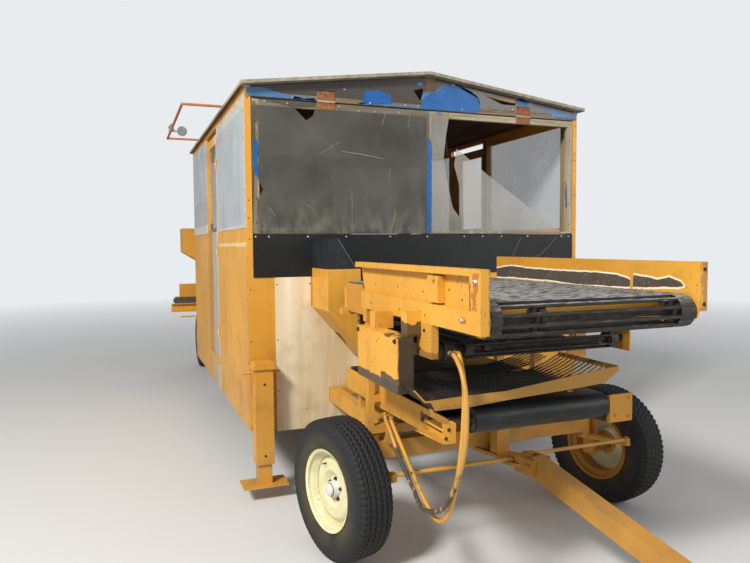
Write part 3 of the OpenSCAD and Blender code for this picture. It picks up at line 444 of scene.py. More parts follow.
def amber_enamel(name, base="#DFA23A", second="#CD8E2C", chip=0.5, dust=0.55, shine=0.36, zones=(),
                 scrape=None):
    """Weathered enamel: chip is how much paint is off, dust how dull the lower part is, zones are painted
    over the base, and scrape is what scraped takes."""
    new_material(name)
    grime = noise(140, 7)
    paint = layers(base, (noise(900, 3), 0.35, 0.65, 1, second),
                   (noise(60, 5, (1, 1, 0.06)), 0.52, 0.75, 0.22, "#AD7426"),
                   (grime, 0.55, 0.78, 0.34, "#8E6A2C"))
    if zones:
        paint = zoned(paint, zones, 1.5, (noise(55, 6, (1, 1, 0.35)), 0.35, 0.7, 0.35, "#5A4A38"))
    if scrape:
        paint = scraped(paint, *scrape)
    low_down = times(step(parts_of(place)[2], 0.9, 0.2), step(grime, 0.3, 0.7))
    paint = mix(times(low_down, dust), paint, "#86724E")
    # chips: the tops of a fine noise, in clumps and along the edges
    fine = noise(16, 6)
    edge = worn_corner()
    wear = most(step(noise(210, 4, shift=(3, 1, 2)), 0.62 - 0.12 * chip, 0.70), times(edge, 0.75 + 0.25 * chip))
    rim = times(edge, step(noise(34, 5, shift=(1, 7, 3)), 0.56 - 0.05 * chip, 0.62))
    core = most(times(step(fine, 0.62, 0.66), wear), times(rim, 0.85))
    paint = mix(times(step(fine, 0.60, 0.63), wear), paint, "#BD9464")
    return finished(math_node("SUBTRACT", noise(240, 2), times(core, 0.10)), 6.0, 0.25,
                    Base_Color=mix(core, paint, "#43301F"),
                    Roughness=most(step(grime, 0.3, 0.8, shine, shine + 0.25), times(core, 0.85)))


enamel = amber_enamel("amber_enamel")
enamel_worn = amber_enamel("worn_amber_enamel", "#D99C36", "#C2852B", 0.9, 0.7, 0.45)
# the left side: a bare weathered board and a cream strip beside the door, and a darker sheet behind
door_paint = amber_enamel("door_enamel", zones=[
    ((None, 1395, 640), (None, 1545, 2700), "#D8C9A8", 1.0, 5),
    ((None, 1490, None), (None, 1775, 1850), "#B9B0A2", 1.0, 12),
    ((None, 1480, 1821), (None, 1900, 1903), "#7A5436", 1.0, 4),
    ((None, 1775, None), (None, 2060, 1850), "#BC7F28", 0.8, 4),
])
wall_paint = amber_enamel("side_wall_enamel", zones=[
    ((None, 1395, None), (None, 1545, 640), "#C9BEA6", 1.0, 5),
    ((None, 1545, None), (None, 1775, 640), "#B5AA98", 1.0, 5),
    # the pale band just under the bend in the sheet is a painted highlight
    ((None, 20, 1690), (None, 1340, 1716), "#F6D9A0", 0.75, 14),
])
# the guard's front and lower corner are black with old grease, and so is the bracket above it
guard_paint = amber_enamel("guard_enamel", chip=0.8, zones=[
    ((-994, None, None), (None, -1745, 1300), "#2B241B", 0.97, 8),
    ((None, -1760, None), (-990, -1240, 1078), "#41382C", 0.95, 16),
    ((None, -1760, None), (-990, -1560, 1104), "#41382C", 0.95, 20, 90),
    ((None, None, 1280), (None, -1600, 1345), "#33281B", 0.9, 45),
])
side_paint = amber_enamel("conveyor_side_enamel", "#DFA33B", "#CC902F", 0.9, 0.4, 0.34, zones=[
    ((None, -2250, 1440), (None, -2206, 1592), "#A2541F", 0.7, 40),
    ((None, -2196, 1440), (None, -2184, 1540), "#5A3A22", 0.8, 14)])
# the right side panel is scraped bare by the crop along its inner face
scraped_paint = amber_enamel("scraped_side_enamel", chip=1.0, scrape=(
    [(-628, 1534), (-827, 1557), (-1026, 1545), (-1265, 1542), (-1647, 1543), (-1759, 1538), (-1839, 1524),
     (-1875, 1512), (-1884, 1541), (-1963, 1536), (-2039, 1525), (-2101, 1540), (-2171, 1521), (-2188, 1505)],
    [(-628, 1478), (-828, 1484), (-1266, 1483), (-1454, 1473), (-1840, 1479), (-2058, 1491), (-2171, 1498),
     (-2188, 1505)], (-1880, -1862)), zones=[((202, None, 1360), (None, -2230, None), "#8A5A2A", 0.5, 30)])
# under the machine the front wall is near black, with grease and painted shade
front_wall_paint = amber_enamel("front_wall_enamel", zones=[
    ((-640, None, 500), (215, None, 1300), "#241C14", 0.93, 40)])
# grease has run down from the chains over the frame under them, and the near-black there is also painted shade
# under the conveyor
inner_paint = amber_enamel("greasy_frame_enamel", "#D99C36", "#C2852B", 0.9, 0.7, 0.45, zones=[
    ((-770, -1880, 805), (70, -330, 1400), "#1D1711", 0.92, 40)])
tongue_paint = amber_enamel("tongue_enamel", "#D89B37", "#C2862C", 1.0, 0.35, 0.4)

# %% [markdown]
# ## Wheel paint
# The pressed wheels were brushed with chalky cream enamel on the outer side only, so the barrel that
# faces the chassis is still amber, and the hub is nearly white. The shader finds the sides and the hub
# from the distance along and around the axle, which needs the wheel's middle and its axis.

# %% Wheel places and cream enamel
STEER = math.radians(13.4)
WHEELS = {}
for corner, side, turned in (("fl", -1, True), ("fr", 1, True), ("rl", -1, False), ("rr", 1, False)):
    low, high = (np.array(c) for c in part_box("tyre_" + corner))
    angle = STEER if turned else 0.0
    WHEELS[corner] = ((low + high) / 2, side * np.array([math.cos(angle), math.sin(angle), 0.0]))
    print("wheel", corner, WHEELS[corner][0].round(3))


def about_axle(middle, axis):
    """How far along an axle a place is, and how far from its line."""
    arm = vector_node("SUBTRACT", place, tuple(middle))
    along = vector_node("DOT_PRODUCT", arm, tuple(axis), output="Value")
    return along, vector_node("LENGTH", vector_node("CROSS_PRODUCT", arm, tuple(axis)), output="Value")


def wheel_enamel(name, middle, axis):
    """Chalky cream paint, with the hub white and the inner side amber."""
    new_material(name)
    along, radius = about_axle(middle, axis)
    drift = noise(120, 5)
    paint = layers("#DAD2A6", (drift, 0.4, 0.75, 1, "#CFC595"), (radius, 0.062, 0.058, 1, "#CFCEC8"))
    # dust lies in the well of the rim
    well = times(step(radius, 0.150, 0.175), step(radius, 0.205, 0.190))
    paint = mix(times(well, step(drift, 0.3, 0.7, 0.1, 0.5)), paint, "#9C8F66")
    paint = layers(paint, (along, 0.024, 0.020, 1, "#B27C28"))
    fine = noise(12, 6)
    core = times(step(fine, 0.60, 0.66), step(noise(90, 4, shift=(5, 1, 2)), 0.54, 0.64))
    core = most(core, times(worn_corner(3.0), step(fine, 0.58, 0.64)))
    return finished(fine, 0.6, 0.3, Base_Color=mix(core, paint, "#6E4A30"), Roughness=0.5)


WHEEL_PAINT = {c: wheel_enamel("wheel_enamel_" + c, *WHEELS[c]) for c in WHEELS}

# %% [markdown]
# ## Steel, rubber and wood
# These share one recipe: two tones in blobs, a third on the tops of a finer noise, and a little relief.
# What sets them apart is the size of the blobs, how stretched they are, and how rough the surface is.

# %% Steel, rubber and wood


def plain_worn(name, first, second, third, size_mm, rough, metal=0.0, relief=0.5, stretch=(1, 1, 1), zones=()):
    """Two tones in blobs of size_mm with a third on the tops, relief in millimetres, and zones as above."""
    new_material(name)
    blob = noise(size_mm, 6, stretch)
    fine = noise(size_mm / 7, 6, stretch, (2, 5, 1))
    tone = layers(first, (blob, 0.35, 0.68, 1, second), (fine, 0.58, 0.74, 0.8, third))
    tone = zoned(tone, zones, 2.0, (fine, 0.45, 0.70, 0.5, third))
    return finished(fine, relief, Base_Color=tone, Metallic=metal,
                    Roughness=step(blob, 0.3, 0.7, rough, min(1.0, rough + 0.15)))


# the tray is black with grease and painted shade, and its rods carry pale painted glints, but its raised right
# end and its lip are still amber
tray_steel = plain_worn("greasy_tray_steel", "#15110D", "#241C14", "#7A6A50", 45, 0.42, zones=[
    ((-60, None, 1026), OPEN, "#B98A34", 0.85, 60),
    (OPEN, (None, -1893.5, None), "#B07F2A", 1.0, 0),
    (OPEN, (-560, -1893.5, 1000), "#7A5A26", 0.5, 30)])
greasy_steel = plain_worn("greasy_steel", "#2E2720", "#40372D", "#6B5D4C", 50, 0.5)
motor_steel = plain_worn("motor_steel", "#241E18", "#382F25", "#6B5D4C", 50, 0.45, zones=[
    ((None, None, 1199), (-849, None, None), "#CF9534", 1.0, 0),
    (OPEN, (-849, None, 1225), "#4A3620", 0.6, 30)])
roller_steel = plain_worn("roller_steel", "#4A4640", "#3A3026", "#77726A", 40, 0.5, 0.6, zones=[
    ((None, None, 1330), (-830, -2100, 1470), "#C8922F", 1.0, 2)])
rust_pipe = plain_worn("rusty_pipe", "#A8683F", "#BE7A4C", "#6E4226", 30, 0.75)
old_rust = plain_worn("old_hinge_rust", "#7C4B2E", "#965F3C", "#4A2C1C", 26, 0.85)
tread_rubber = plain_worn("tyre_rubber", "#1C1C1D", "#242424", "#4A463E", 90, 0.7)
sheet_rubber = plain_worn("sheet_rubber", "#050606", "#0A0B0C", "#1C1E1F", 240, 0.45, relief=0.5)
flap_rubber = plain_worn("flap_rubber", "#141619", "#1B1E21", "#3A3D40", 120, 0.5, relief=0.5)
cut_rubber = plain_worn("cut_rubber_edge", "#7C8084", "#6A6E72", "#9A9C9E", 20, 0.6)
belt_rubber = plain_worn("belt_rubber", "#060708", "#0D0F10", "#2C2E31", 160, 0.42, relief=0.4,
                         stretch=(0.2, 1, 1))
bright_zinc = plain_worn("zinc_screw", "#C9CCCB", "#A9ACAB", "#7E7C76", 8, 0.3, 0.9, relief=0.1)
dark_bolt = plain_worn("dark_bolt", "#4A3A28", "#2E241B", "#7A6040", 14, 0.7, 0.4, relief=0.2)
amber_bolt = plain_worn("painted_bolt", "#C98F30", "#A8762A", "#4A3420", 16, 0.5, relief=0.2)
lamp_shell = plain_worn("lamp_shell", "#B9B8B2", "#8E8A82", "#6E6A62", 30, 0.3, 0.9)


def covered_rods():
    """Rods in ribbed rubber: grey painted light on the faces of the upper run that look up, black elsewhere
    with pale painted highlights in streaks.
    """
    new_material("rubber_covered_rods")
    grain = noise(11, 7, (0.22, 1, 1))
    # the pale tops of the grain on the black are painted highlights, and the grey tone on the upper faces is
    # painted light
    dark = layers("#191613", (grain, 0.42, 0.64, 1, "#34302A"), (grain, 0.62, 0.72, 0.85, "#7C766C"))
    dusty = layers("#45423E", (grain, 0.38, 0.60, 1, "#8F8B84"))
    top = times(step(upward(), 0.3, 0.8), inside((None, None, 1440), OPEN, 4))
    return finished(grain, 1.0, 0.6, Base_Color=mix(top, dark, dusty), Roughness=0.5)


rod_steel = covered_rods()


def weathered_wood(name, pale, dark, crack, size_mm=26, zones=()):
    """Grain as long thin noise: along X in the rails, along Z in the uprights, chosen by the height."""
    new_material(name)
    rails = most(inside((None, None, 2628), OPEN, 2), inside(OPEN, (None, None, 1790), 2))
    grain = add("ShaderNodeMix", {"data_type": "FLOAT"}, i0=rails, i2=noise(size_mm, 7, (1, 1, 0.05)),
                i3=noise(size_mm, 7, (0.05, 1, 1), (4, 2, 1))).outputs[0]
    tone = layers(pale, (grain, 0.35, 0.66, 1, dark), (noise(220, 4), 0.45, 0.75, 0.5, "#A58A62"),
                  (grain, 0.66, 0.72, 0.9, crack))
    return finished(grain, 1.6, 0.6, Base_Color=zoned(tone, zones, 2.0), Roughness=0.85)


grey_wood = weathered_wood("weathered_pine", "#B5A88F", "#94866D", "#5C5040")
batten_wood = weathered_wood("batten_pine", "#BFA67C", "#A08458", "#5A4630", zones=[
    ((None, 30, None), OPEN, "#7A5A38", 0.55, 0)])
floor_wood = weathered_wood("floor_pine", "#8E8068", "#6E6250", "#4A4034", 60)

# %% Cream sheet and roof board


def stained_board():
    """Cream-painted hardboard with long pale and tan runs where rain has come down."""
    new_material("stained_board")
    wide = noise(170, 3, (1, 1, 0.05))
    blob = noise(200, 6)
    tone = layers("#E2D3B2", (wide, 0.38, 0.62, 1, "#CDB68C"),
                  (noise(34, 5, (1, 1, 0.05), (3, 1, 5)), 0.55, 0.72, 0.55, "#EFE6D0"),
                  (blob, 0.56, 0.76, 0.6, "#AE9468"))
    # darker in blobs towards the bottom of the sheet: painted shade
    low = step(parts_of(place)[2], 0.75, 0.42)
    tone = mix(times(low, step(blob, 0.35, 0.7, 0.1, 0.6)), tone, "#9C8458")
    tone = layers(tone, (noise(9, 3, shift=(7, 7, 7)), 0.74, 0.77, 1, "#5E4A34"))
    return finished(wide, 5.0, 0.2, Base_Color=tone, Roughness=0.55)


def roof_covering():
    """Grey weathered board on top and at the edges, brown plywood seen from below."""
    new_material("roof_board")
    grain = noise(40, 7, (1, 0.08, 1))
    top = layers("#A79C88", (grain, 0.35, 0.66, 1, "#857A68"), (noise(260, 5), 0.5, 0.8, 0.6, "#6C6252"))
    below = layers("#6E4424", (noise(300, 6, (1, 0.3, 1)), 0.35, 0.65, 1, "#3E2413"))
    underside = times(step(upward(), -0.5, -0.7), inside((None, 20, None), (None, 3320, None), 2))
    tone = layers(mix(underside, top, below), (noise(14, 6, shift=(1, 9, 2)), 0.62, 0.72, 0.7, "#4A4236"))
    return finished(grain, 1.5, 0.6, Base_Color=tone, Roughness=0.85)


cream_board = stained_board()
roof_board = roof_covering()

# %% [markdown]
# ## Window sheet
# The windows are thin clear plastic that the sun has dulled. A real one lets light through where it is
# clean and scatters it where it is hazy, so each sheet is see-through by an amount that follows blobs,
# long rain runs, and a few hard scratches. Dust collects in the lower part.

# %% Window sheet


def window_sheet(name, tint, haze_tint, clear, haze, dusty=None, zones=(), bare=()):
    """clear is how much is seen through, haze how much less in the blobs, dusty (z low, z high, hex). zones
    are (low corner, high corner, hex, cover, wobble), bare (low corner, high corner, cover left over)."""
    new_material(name)
    blob = noise(330, 5)
    run = noise(40, 5, (1, 1, 0.12), (2, 2, 2))
    least = 1 - clear
    tone = layers(tint, (blob, 0.35, 0.7, 1, haze_tint), (run, 0.52, 0.72, 0.4, haze_tint))
    cover = most(step(blob, 0.3, 0.75, least, min(1.0, least + haze)),
                 step(run, 0.50, 0.74, least, min(1.0, least + 0.8 * haze)))
    if dusty:
        low, high, dust_tone = dusty
        dust = times(step(parts_of(place)[2], high / 1000, low / 1000),
                     step(noise(60, 7, (1, 1, 0.5)), 0.40, 0.66))
        tone = mix(times(dust, 0.75), tone, dust_tone)
        cover = most(cover, times(dust, 0.92))
    for low, high, zone_tone, zone_cover, wobble in zones:
        zone = inside(low, high, 3.0, wavy(60, wobble) if wobble else place)
        tone = mix(zone, tone, zone_tone)
        cover = most(cover, times(zone, zone_cover))
    for low, high, left_over in bare:
        cover = times(cover, step(inside(low, high, 2.0), 0, 1, 1, left_over))
    speck = noise(12, 3, shift=(5, 2, 6))
    return finished(blob, 2.0, 0.10, Base_Color=layers(tone, (speck, 0.76, 0.79, 0.8, "#B8B4A6")),
                    Alpha=most(cover, step(speck, 0.76, 0.79, 0, 0.9)), Roughness=0.16, IOR=1.49)


# wood of the sash shows through clean sheet; over the cab the same hazy sheet is painted dark as painted shade
# for the dark inside
WOOD_BEHIND = [((None, None, 2628), OPEN, 0.35), (OPEN, (-1246, None, None), 0.30),
               ((-9, None, None), (35, None, 2628), 0.4)]
hazy_dark_sheet = window_sheet("smoky_window_sheet", "#4D4A43", "#5F5C53", 0.30, 0.16,
                           (1780, 2060, "#84826E"), bare=WOOD_BEHIND)
shard_sheet = window_sheet("broken_window_sheet", "#9C988C", "#B2AEA2", 0.66, 0.12,
                           (1780, 1840, "#A8A598"), bare=WOOD_BEHIND)
door_sheet = window_sheet("door_window_sheet", "#A9B4B6", "#C6CCCB", 0.80, 0.12)
# the side sheets lie over cream frames; the gable sheets lie over a dark gap, and their dark tone is painted
# shade
GABLE_WOOD = [(OPEN, (None, 9, 2719), 0.25), ((-24, None, 2719), (64, 9, None), 0.25)]
fixed_sheet = window_sheet("fixed_window_sheet", "#AAB1B2", "#B9BFBF", 0.10, 0.10, bare=GABLE_WOOD + [
    ((1300, None, None), OPEN, 0.5), ((-1300, 9, None), (1300, None, None), 0.5)], zones=[
    ((-1300, None, None), (1300, 9, None), "#4C4641", 0.0, 0),
    ((-1341, 8, 2618), (-1300, 1356, 2790), "#D3CAB6", 0.98, 6),
    ((-1341, 8, None), (-1300, 46, 2790), "#D3CAB6", 0.95, 3),
    ((-1341, 1302, None), (-1300, 1358, 2790), "#D3CAB6", 0.95, 6),
    ((-1341, 8, None), (-1300, 1358, 1842), "#D6CDB4", 0.9, 10),
    ((-1341, 2070, None), (-1300, 3400, 1900), "#D9CFB6", 0.9, 12),
    # the brown-grey band on the rear sheets is a painted reflection of the dark land below the horizon
    ((-1341, 2070, 1900), (-1300, 3400, 2150), "#A39D92", 0.8, 18),
    ((-1341, 2070, 2690), (-1300, 3400, 2800), "#CFC6B2", 0.95, 6),
])

# %% Give each CAD node its finish
FINISH_OF = {name: finish for finish, names in (
    (rod_steel, "front_chain lower_chain sort_chain"), (tray_steel, "rod_tray"), (roller_steel, "rollers"),
    (motor_steel, "motor"), (rust_pipe, "lamp_bar"), (lamp_shell, "lamps"),
    (belt_rubber, "lower_belt cross_belt"),
    (sheet_rubber, "front_band"), (flap_rubber, "chute_flap"), (cream_board, "front_sheet"),
    (roof_board, "roof_sheets"), (batten_wood, "front_battens"), (floor_wood, "cab_floor"),
    (grey_wood, "front_sash"), (fixed_sheet, "fixed_panes"), (hazy_dark_sheet, "sash_left_pane"),
    (shard_sheet, "sash_right_pane"), (door_sheet, "door_left_pane door_right_pane"), (door_paint, "door_left"),
    (wall_paint, "wall_left"), (guard_paint, "chain_guard"), (side_paint, "side_left"),
    (scraped_paint, "side_right"), (front_wall_paint, "wall_front"), (tongue_paint, "tongue"),
    (enamel_worn, "tongue_head frame front_axle rear_axle"), (inner_paint, "belt_frame"),
    (tread_rubber, "tyre_fl tyre_fr tyre_rl tyre_rr"),
) for name in names.split()}
FINISH_OF.update({"rim_" + corner: paint for corner, paint in WHEEL_PAINT.items()})
for name, node in nodes.items():
    node.data.materials.clear()
    node.data.materials.append(FINISH_OF.get(name, enamel))
print(len(nodes), "nodes finished")

# %% [markdown]
# ## Hoses
# Yellow paint went over the hoses once and has cracked off where they bend. A curve with a round bevel
# keeps each one a true tube of the same thickness from end to end.

# %% Hoses


def painted_rubber(name, paint_tone, bare_tone, bare_from, bare_below):
    """Cracked paint on rubber: bare_from is where the noise shows the rubber, bare_below the height in
    metres under which most of the paint has gone."""
    new_material(name)
    broad = noise(200, 3)
    low_down = step(parts_of(place)[2], bare_below + 0.05, bare_below - 0.05, 0, 0.16)
    worn = math_node("ADD", times(noise(26, 7, (1, 1, 0.22)), 0.6), times(broad, 0.4))
    bare = step(math_node("ADD", worn, low_down), bare_from, bare_from + 0.05)
    tone = mix(bare, layers(paint_tone, (broad, 0.4, 0.7, 1, "#B98632")), bare_tone)
    return finished(math_node("SUBTRACT", 1.0, bare), 0.5, Base_Color=tone,
                    Roughness=step(bare, 0, 1, 0.42, 0.65))


HOSE_FINISH = {"hose_a": painted_rubber("painted_hose", "#D39A38", "#2A241C", 0.60, 0.0),
               "hose_b": painted_rubber("bare_hose", "#C08F45", "#4A4238", 0.57, 0.62)}
HOSE_R = 0.011


def hose_curve(name, points, radius, material, body):
    """A round hose: a curve of one poly spline, with a bevel."""
    data = bpy.data.curves.new(name, "CURVE")
    data.dimensions = "3D"
    data.bevel_depth = radius
    data.bevel_resolution = 6
    data.use_fill_caps = True
    spline = data.splines.new("POLY")
    spline.points.add(len(points) - 1)
    spline.points.foreach_set("co", np.hstack([points, np.ones((len(points), 1))]).ravel())
    spline.use_smooth = True
    piece = in_scene(name, data)
    data.materials.append(material)
    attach(piece, body)
    return piece


for name, route in ROUTES.items():
    points = all_at(smooth_line(route, 8))
    hose = hose_curve("painted_" + name, points, HOSE_R, HOSE_FINISH[name], "trailer")
    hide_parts(name)

# crimped ferrules and hex fittings at the four ends
ferrule = [(12.6, 0), (13.4, 2), (13.4, 9), (12.4, 10), (12.4, 14), (13.4, 15), (13.4, 23), (12.6, 25)]
turned_heads("hose_ferrules_front", [(x, -1862, 1218) for x in (-764, -790)], (0, -1, -0.12), ferrule, 20,
             greasy_steel)
turned_heads("hose_ferrules_block", [(-762, -1111, 768), (-776, -1061, 768)], (0, 0, -1), ferrule, 20,
             amber_bolt)

# %% [markdown]
# ## Tyres
# A highway tyre has straight ribs with zigzag grooves between them and short slits on the shoulders.
# The tyre is one grid: the first parameter runs round the wheel, the second across the section from
# bead to bead. The groove depth is subtracted from the radius, so no piece has to be cut.

# %% Tyre section
BEAD_R = 209.5             # where the bead sits on the rim, in mm
TURNS = 432                # steps round the wheel
ZIG = 72                   # zigzags round the wheel, one every 33 mm


def tyre_section():
    """(across, radius) from the inner bead over the tread to the outer bead: one half, mirrored."""
    side = np.array([(80, BEAD_R + 0.4), (86, 218), (92.5, 228), (97.5, 243), (101.5, 262), (104, 282),
                     (104.8, 300), (104, 318), (101.5, 334), (98, 347), (94.5, 355), (92, 360.5),
                     (88, 368), (84.5, 373)], float)
    tread_x = np.linspace(81, -81, 66)
    tread_r = 379.6 - 4.6 * (np.abs(tread_x) / 81) ** 3.2
    tread = np.stack([tread_x, tread_r], -1)
    half = smooth_line(side, 2)
    other = half[::-1] * [-1, 1]
    return np.vstack([half, tread, other])


def saw(phase):
    """0 at whole numbers, 1 halfway between them."""
    return np.abs(2 * (phase - np.floor(phase + 0.5)))


def groove_depth(across, angle):
    """Millimetres cut away. A groove is where the distance to its zigzag line is under 5 mm; a slit is
    where a sawtooth round the wheel is short, on the shoulders only."""
    phase = angle * ZIG / (2 * np.pi)
    depth = np.zeros_like(across * angle)
    for k, line in enumerate((-50, -17, 17, 50)):
        away = np.abs(across - line - 6.0 * (2 * saw(phase) - 1) * (1 if k % 2 else -1))
        depth = np.maximum(depth, 8.0 * np.clip((5.0 - away) / 1.8, 0, 1))
    off = np.abs(across)
    shoulder = np.clip((off - 64) / 3, 0, 1) * np.clip((99 - off) / 3, 0, 1)
    depth = np.maximum(depth, 9.0 * np.clip((0.40 - saw(phase)) / 0.17, 0, 1) * shoulder)
    rib = np.clip((4 - np.abs(off - 33.5)) / 2, 0, 1) + np.clip((4 - off) / 2, 0, 1)
    return np.maximum(depth, 3.0 * np.clip((0.30 - saw(phase * 2 + 0.5)) / 0.15, 0, 1) * rib)


def aged_tyre(name, middle, axis):
    """Black rubber, grey on the worn ribs, with brown dust on the inner sidewall ring, and painted shade
    darkening the groove bottoms and shoulders.
    """
    new_material(name)
    radius = about_axle(middle, axis)[1]
    blob = noise(110, 6)
    fine = noise(14, 6, shift=(2, 5, 1))
    tone = layers("#111213", (blob, 0.35, 0.7, 1, "#1B1B1B"), (fine, 0.58, 0.76, 0.45, "#3A3731"))
    ring = times(step(radius, 0.325, 0.255), step(blob, 0.33, 0.60, 0.2, 0.95))
    # a band just below the tread surface, at the groove bottoms and the shoulders, is painted near black:
    # painted shade
    cut = times(step(radius, 0.3765, 0.3715), step(radius, 0.352, 0.362))
    tone = mix(times(cut, 0.35), mix(ring, tone, "#433C29"), "#0C0B0A")
    return finished(fine, 0.5, 0.4, Base_Color=tone, Roughness=step(blob, 0.3, 0.7, 0.62, 0.8))


section = tyre_section()
turn_angle = np.arange(TURNS) * 2 * np.pi / TURNS
across, angle = np.meshgrid(section[:, 0], turn_angle)
radius = np.broadcast_to(section[:, 1], across.shape) - groove_depth(across, angle) * (section[:, 1] > 352)
raised = (1.6 * np.clip(1 - np.abs(section[:, 1] - 262) / 6, 0, 1)
          - 1.2 * np.clip(1 - np.abs(section[:, 1] - 243) / 5, 0, 1))
across = across + np.sign(across) * np.where(section[:, 1] < 330, raised - 1.6, 0)
for corner, (middle, axis) in WHEELS.items():
    level = np.cross(axis, [0.0, 0.0, 1.0])
    points = (middle + (across[..., None] * axis + radius[..., None]
              * (np.cos(angle)[..., None] * level + np.sin(angle)[..., None] * np.array([0, 0, 1.0]))) / 1000)
    faces = grid_faces(TURNS, len(section), wrap_rows=True)
    tyre = new_piece("road_tyre_" + corner, points.reshape(-1, 3), faces, "wheel_" + corner,
                     aged_tyre("aged_tyre_" + corner, middle, axis), smooth=True, recalculate=True)
    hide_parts("tyre_" + corner)
print("tyre faces", len(tyre.data.polygons))

# %% [markdown]
# The hub carries a stub with a cap, five studs with nuts and a ring flange. The nuts are turned
# profiles about the axle, so the same helper that makes bolt heads makes them.

# %% Hubs and wheel nuts


def off_axle(middle, axis, along, radius=0.0, turned=0.0):
    """A point in drawing millimetres, along an axle and radius from it, turned from level."""
    level = np.cross(axis, [0.0, 0.0, 1.0])
    return (middle - SHIFT) * 1000 + axis * along + radius * (
        math.cos(turned) * level + math.sin(turned) * np.array([0, 0, 1.0]))


CREAM = "cream"
STUDS = [(28.2, 57, a) for a in np.arange(5) * 2 * math.pi / 5 + 0.4]
HUB_PIECES = [
    # name before the corner, sides, finish, places (along the axle, radius, turn), profile
    ("wheel_nuts_", 6, dark_bolt, STUDS,
     [(11, 0), (11, 1.5), (9, 1.7), (9, 9), (7.5, 10.5), (5, 10.6), (5, 15), (4, 16)]),
    ("hub_collar_", 40, CREAM, [(28.2,)], [(46, 0), (46, 5), (43.5, 12), (42.6, 13), (42.6, 30), (41, 33)]),
    ("hub_cap_", 32, CREAM, [(59.8,)], [(33, 0), (33, 12), (29, 17), (18, 20), (1, 21)]),
    ("hub_seam_", 32, old_rust, [(59.9,)], [(36, 0), (37.5, 1.5), (37.5, 4), (34, 5.2)]),
    ("valve_stem_", 12, greasy_steel, [(52, 140, 1.1)], [(5, -8), (5, 10), (3.5, 12), (3.5, 22), (2.5, 23)]),
]
for corner, (middle, axis) in WHEELS.items():
    for name, sides, finish, spots, profile in HUB_PIECES:
        turned_heads(name + corner, [off_axle(middle, axis, *spot) for spot in spots], axis, profile, sides,
                     WHEEL_PAINT[corner] if finish is CREAM else finish, "wheel_" + corner)

# %% [markdown]
# ## Blue protective film
# The window sheet was sold with a blue film on it. Patches that were never peeled are left along the
# gable and beside the wood, torn at their edges and bleached where the sun reaches them. Each patch is
# a cut sheet a fraction of a millimetre thick, with a torn outline.

# %% Film patches


def film(name, first, second, crease):
    """Thin matt film: slightly wrinkled, with pale worn spots."""
    new_material(name)
    blob = noise(120, 4)
    tone = layers(first, (blob, 0.35, 0.7, 1, second), (noise(18, 5, (1, 1, 0.4)), 0.66, 0.78, 0.5, "#6F8FA8"))
    return finished(blob, crease, 0.4, Base_Color=tone, Roughness=0.4)


bright_film = film("blue_film", "#00508F", "#005A9E", 1.5)
muted_film = film("bleached_blue_film", "#3A6790", "#4E7798", 3.0)
FILM = [
    # name after film_, body, finish, outline (x, z)
    ("left_corner", "trailer", muted_film, [
        (-1325, 2738), (-1210, 2746), (-1133, 2727), (-992, 2706), (-850, 2703), (-850, 2683), (-1310, 2684)]),
    ("left_tag", "trailer", bright_film, [
        (-1020, 2698), (-985, 2702), (-940, 2690), (-860, 2700), (-852, 2684), (-1010, 2684)]),
    ("square", "trailer", bright_film, [
        (-494, 2778), (-389, 2788), (-292, 2767), (-288, 2700), (-542, 2683), (-503, 2708)]),
    ("strip", "trailer", muted_film, [
        (-542, 2697), (-420, 2690), (-290, 2702), (-160, 2694), (-62, 2706), (-62, 2683), (-542, 2683)]),
    ("large", "trailer", bright_film, [
        (-54, 2684), (-44, 2746), (15, 2790), (84, 2812), (124, 2855), (194, 2876), (306, 2861), (337, 2827),
        (399, 2814), (436, 2767), (436, 2699), (400, 2684)]),
    ("large_fringe", "trailer", muted_film, [
        (-52, 2760), (-30, 2806), (20, 2800), (60, 2815), (110, 2848), (126, 2862), (200, 2884), (330, 2850),
        (420, 2812), (445, 2770), (440, 2740), (399, 2818), (306, 2864), (194, 2879), (124, 2858),
        (84, 2815), (15, 2793), (-40, 2750)]),
    ("small", "trailer", bright_film, [(-92, 2866), (-62, 2880), (-36, 2866), (-48, 2842), (-84, 2846)]),
    ("right_tag", "trailer", bright_film, [
        (752, 2809), (800, 2815), (874, 2800), (863, 2767), (790, 2764), (766, 2776)]),
    ("right_corner", "trailer", muted_film, [
        (752, 2822), (874, 2803), (1021, 2770), (1160, 2745), (1320, 2722), (1322, 2692), (1068, 2694),
        (1090, 2715), (1021, 2757), (960, 2770), (874, 2788), (760, 2806)]),
    ("stile", "front_sash", bright_film, [
        (-1276, 2404), (-1258, 2398), (-1250, 2329), (-1264, 2260), (-1252, 2215), (-1252, 2154),
        (-1275, 2172), (-1288, 2250), (-1284, 2330)]),
    ("mullion", "front_sash", bright_film, [
        (-2, 2410), (8, 2470), (22, 2462), (30, 2440), (31, 2120), (26, 1782), (-4, 1782), (-9, 2000),
        (-6, 2200)]),
    ("right_stile", "front_sash", bright_film, [
        (1216, 2190), (1228, 2196), (1232, 2090), (1240, 1990), (1226, 1986), (1220, 2080)]),
    ("rail", "front_sash", muted_film, [(70, 2668), (120, 2666), (112, 2652), (82, 2655)]),
]
FILM_FRONT, FILM_THICK = -4.3, 0.5     # just in front of the sheets, thicker than life so that it shows
for k, (name, body, finish, outline) in enumerate(FILM):
    cut_sheet("film_" + name, torn_edge(outline, 16, 4.5, 40 + k), "y", FILM_FRONT, FILM_THICK, body, finish)
print(len(FILM), "film patches")

# %% Cut edges of the rubber, and the tail of the left panel


def thin_line(name, points, width, level):
    """A strip width mm wide along a line (x, z), facing the front."""
    p = np.asarray(points, float)
    d = np.gradient(p, axis=0)
    off = np.stack([-d[:, 1], d[:, 0]], -1) / np.linalg.norm(d, axis=1)[:, None] * width / 2
    cut_sheet(name, np.vstack([p + off, (p - off)[::-1]]), "y", level, 0.4, "trailer", cut_rubber)


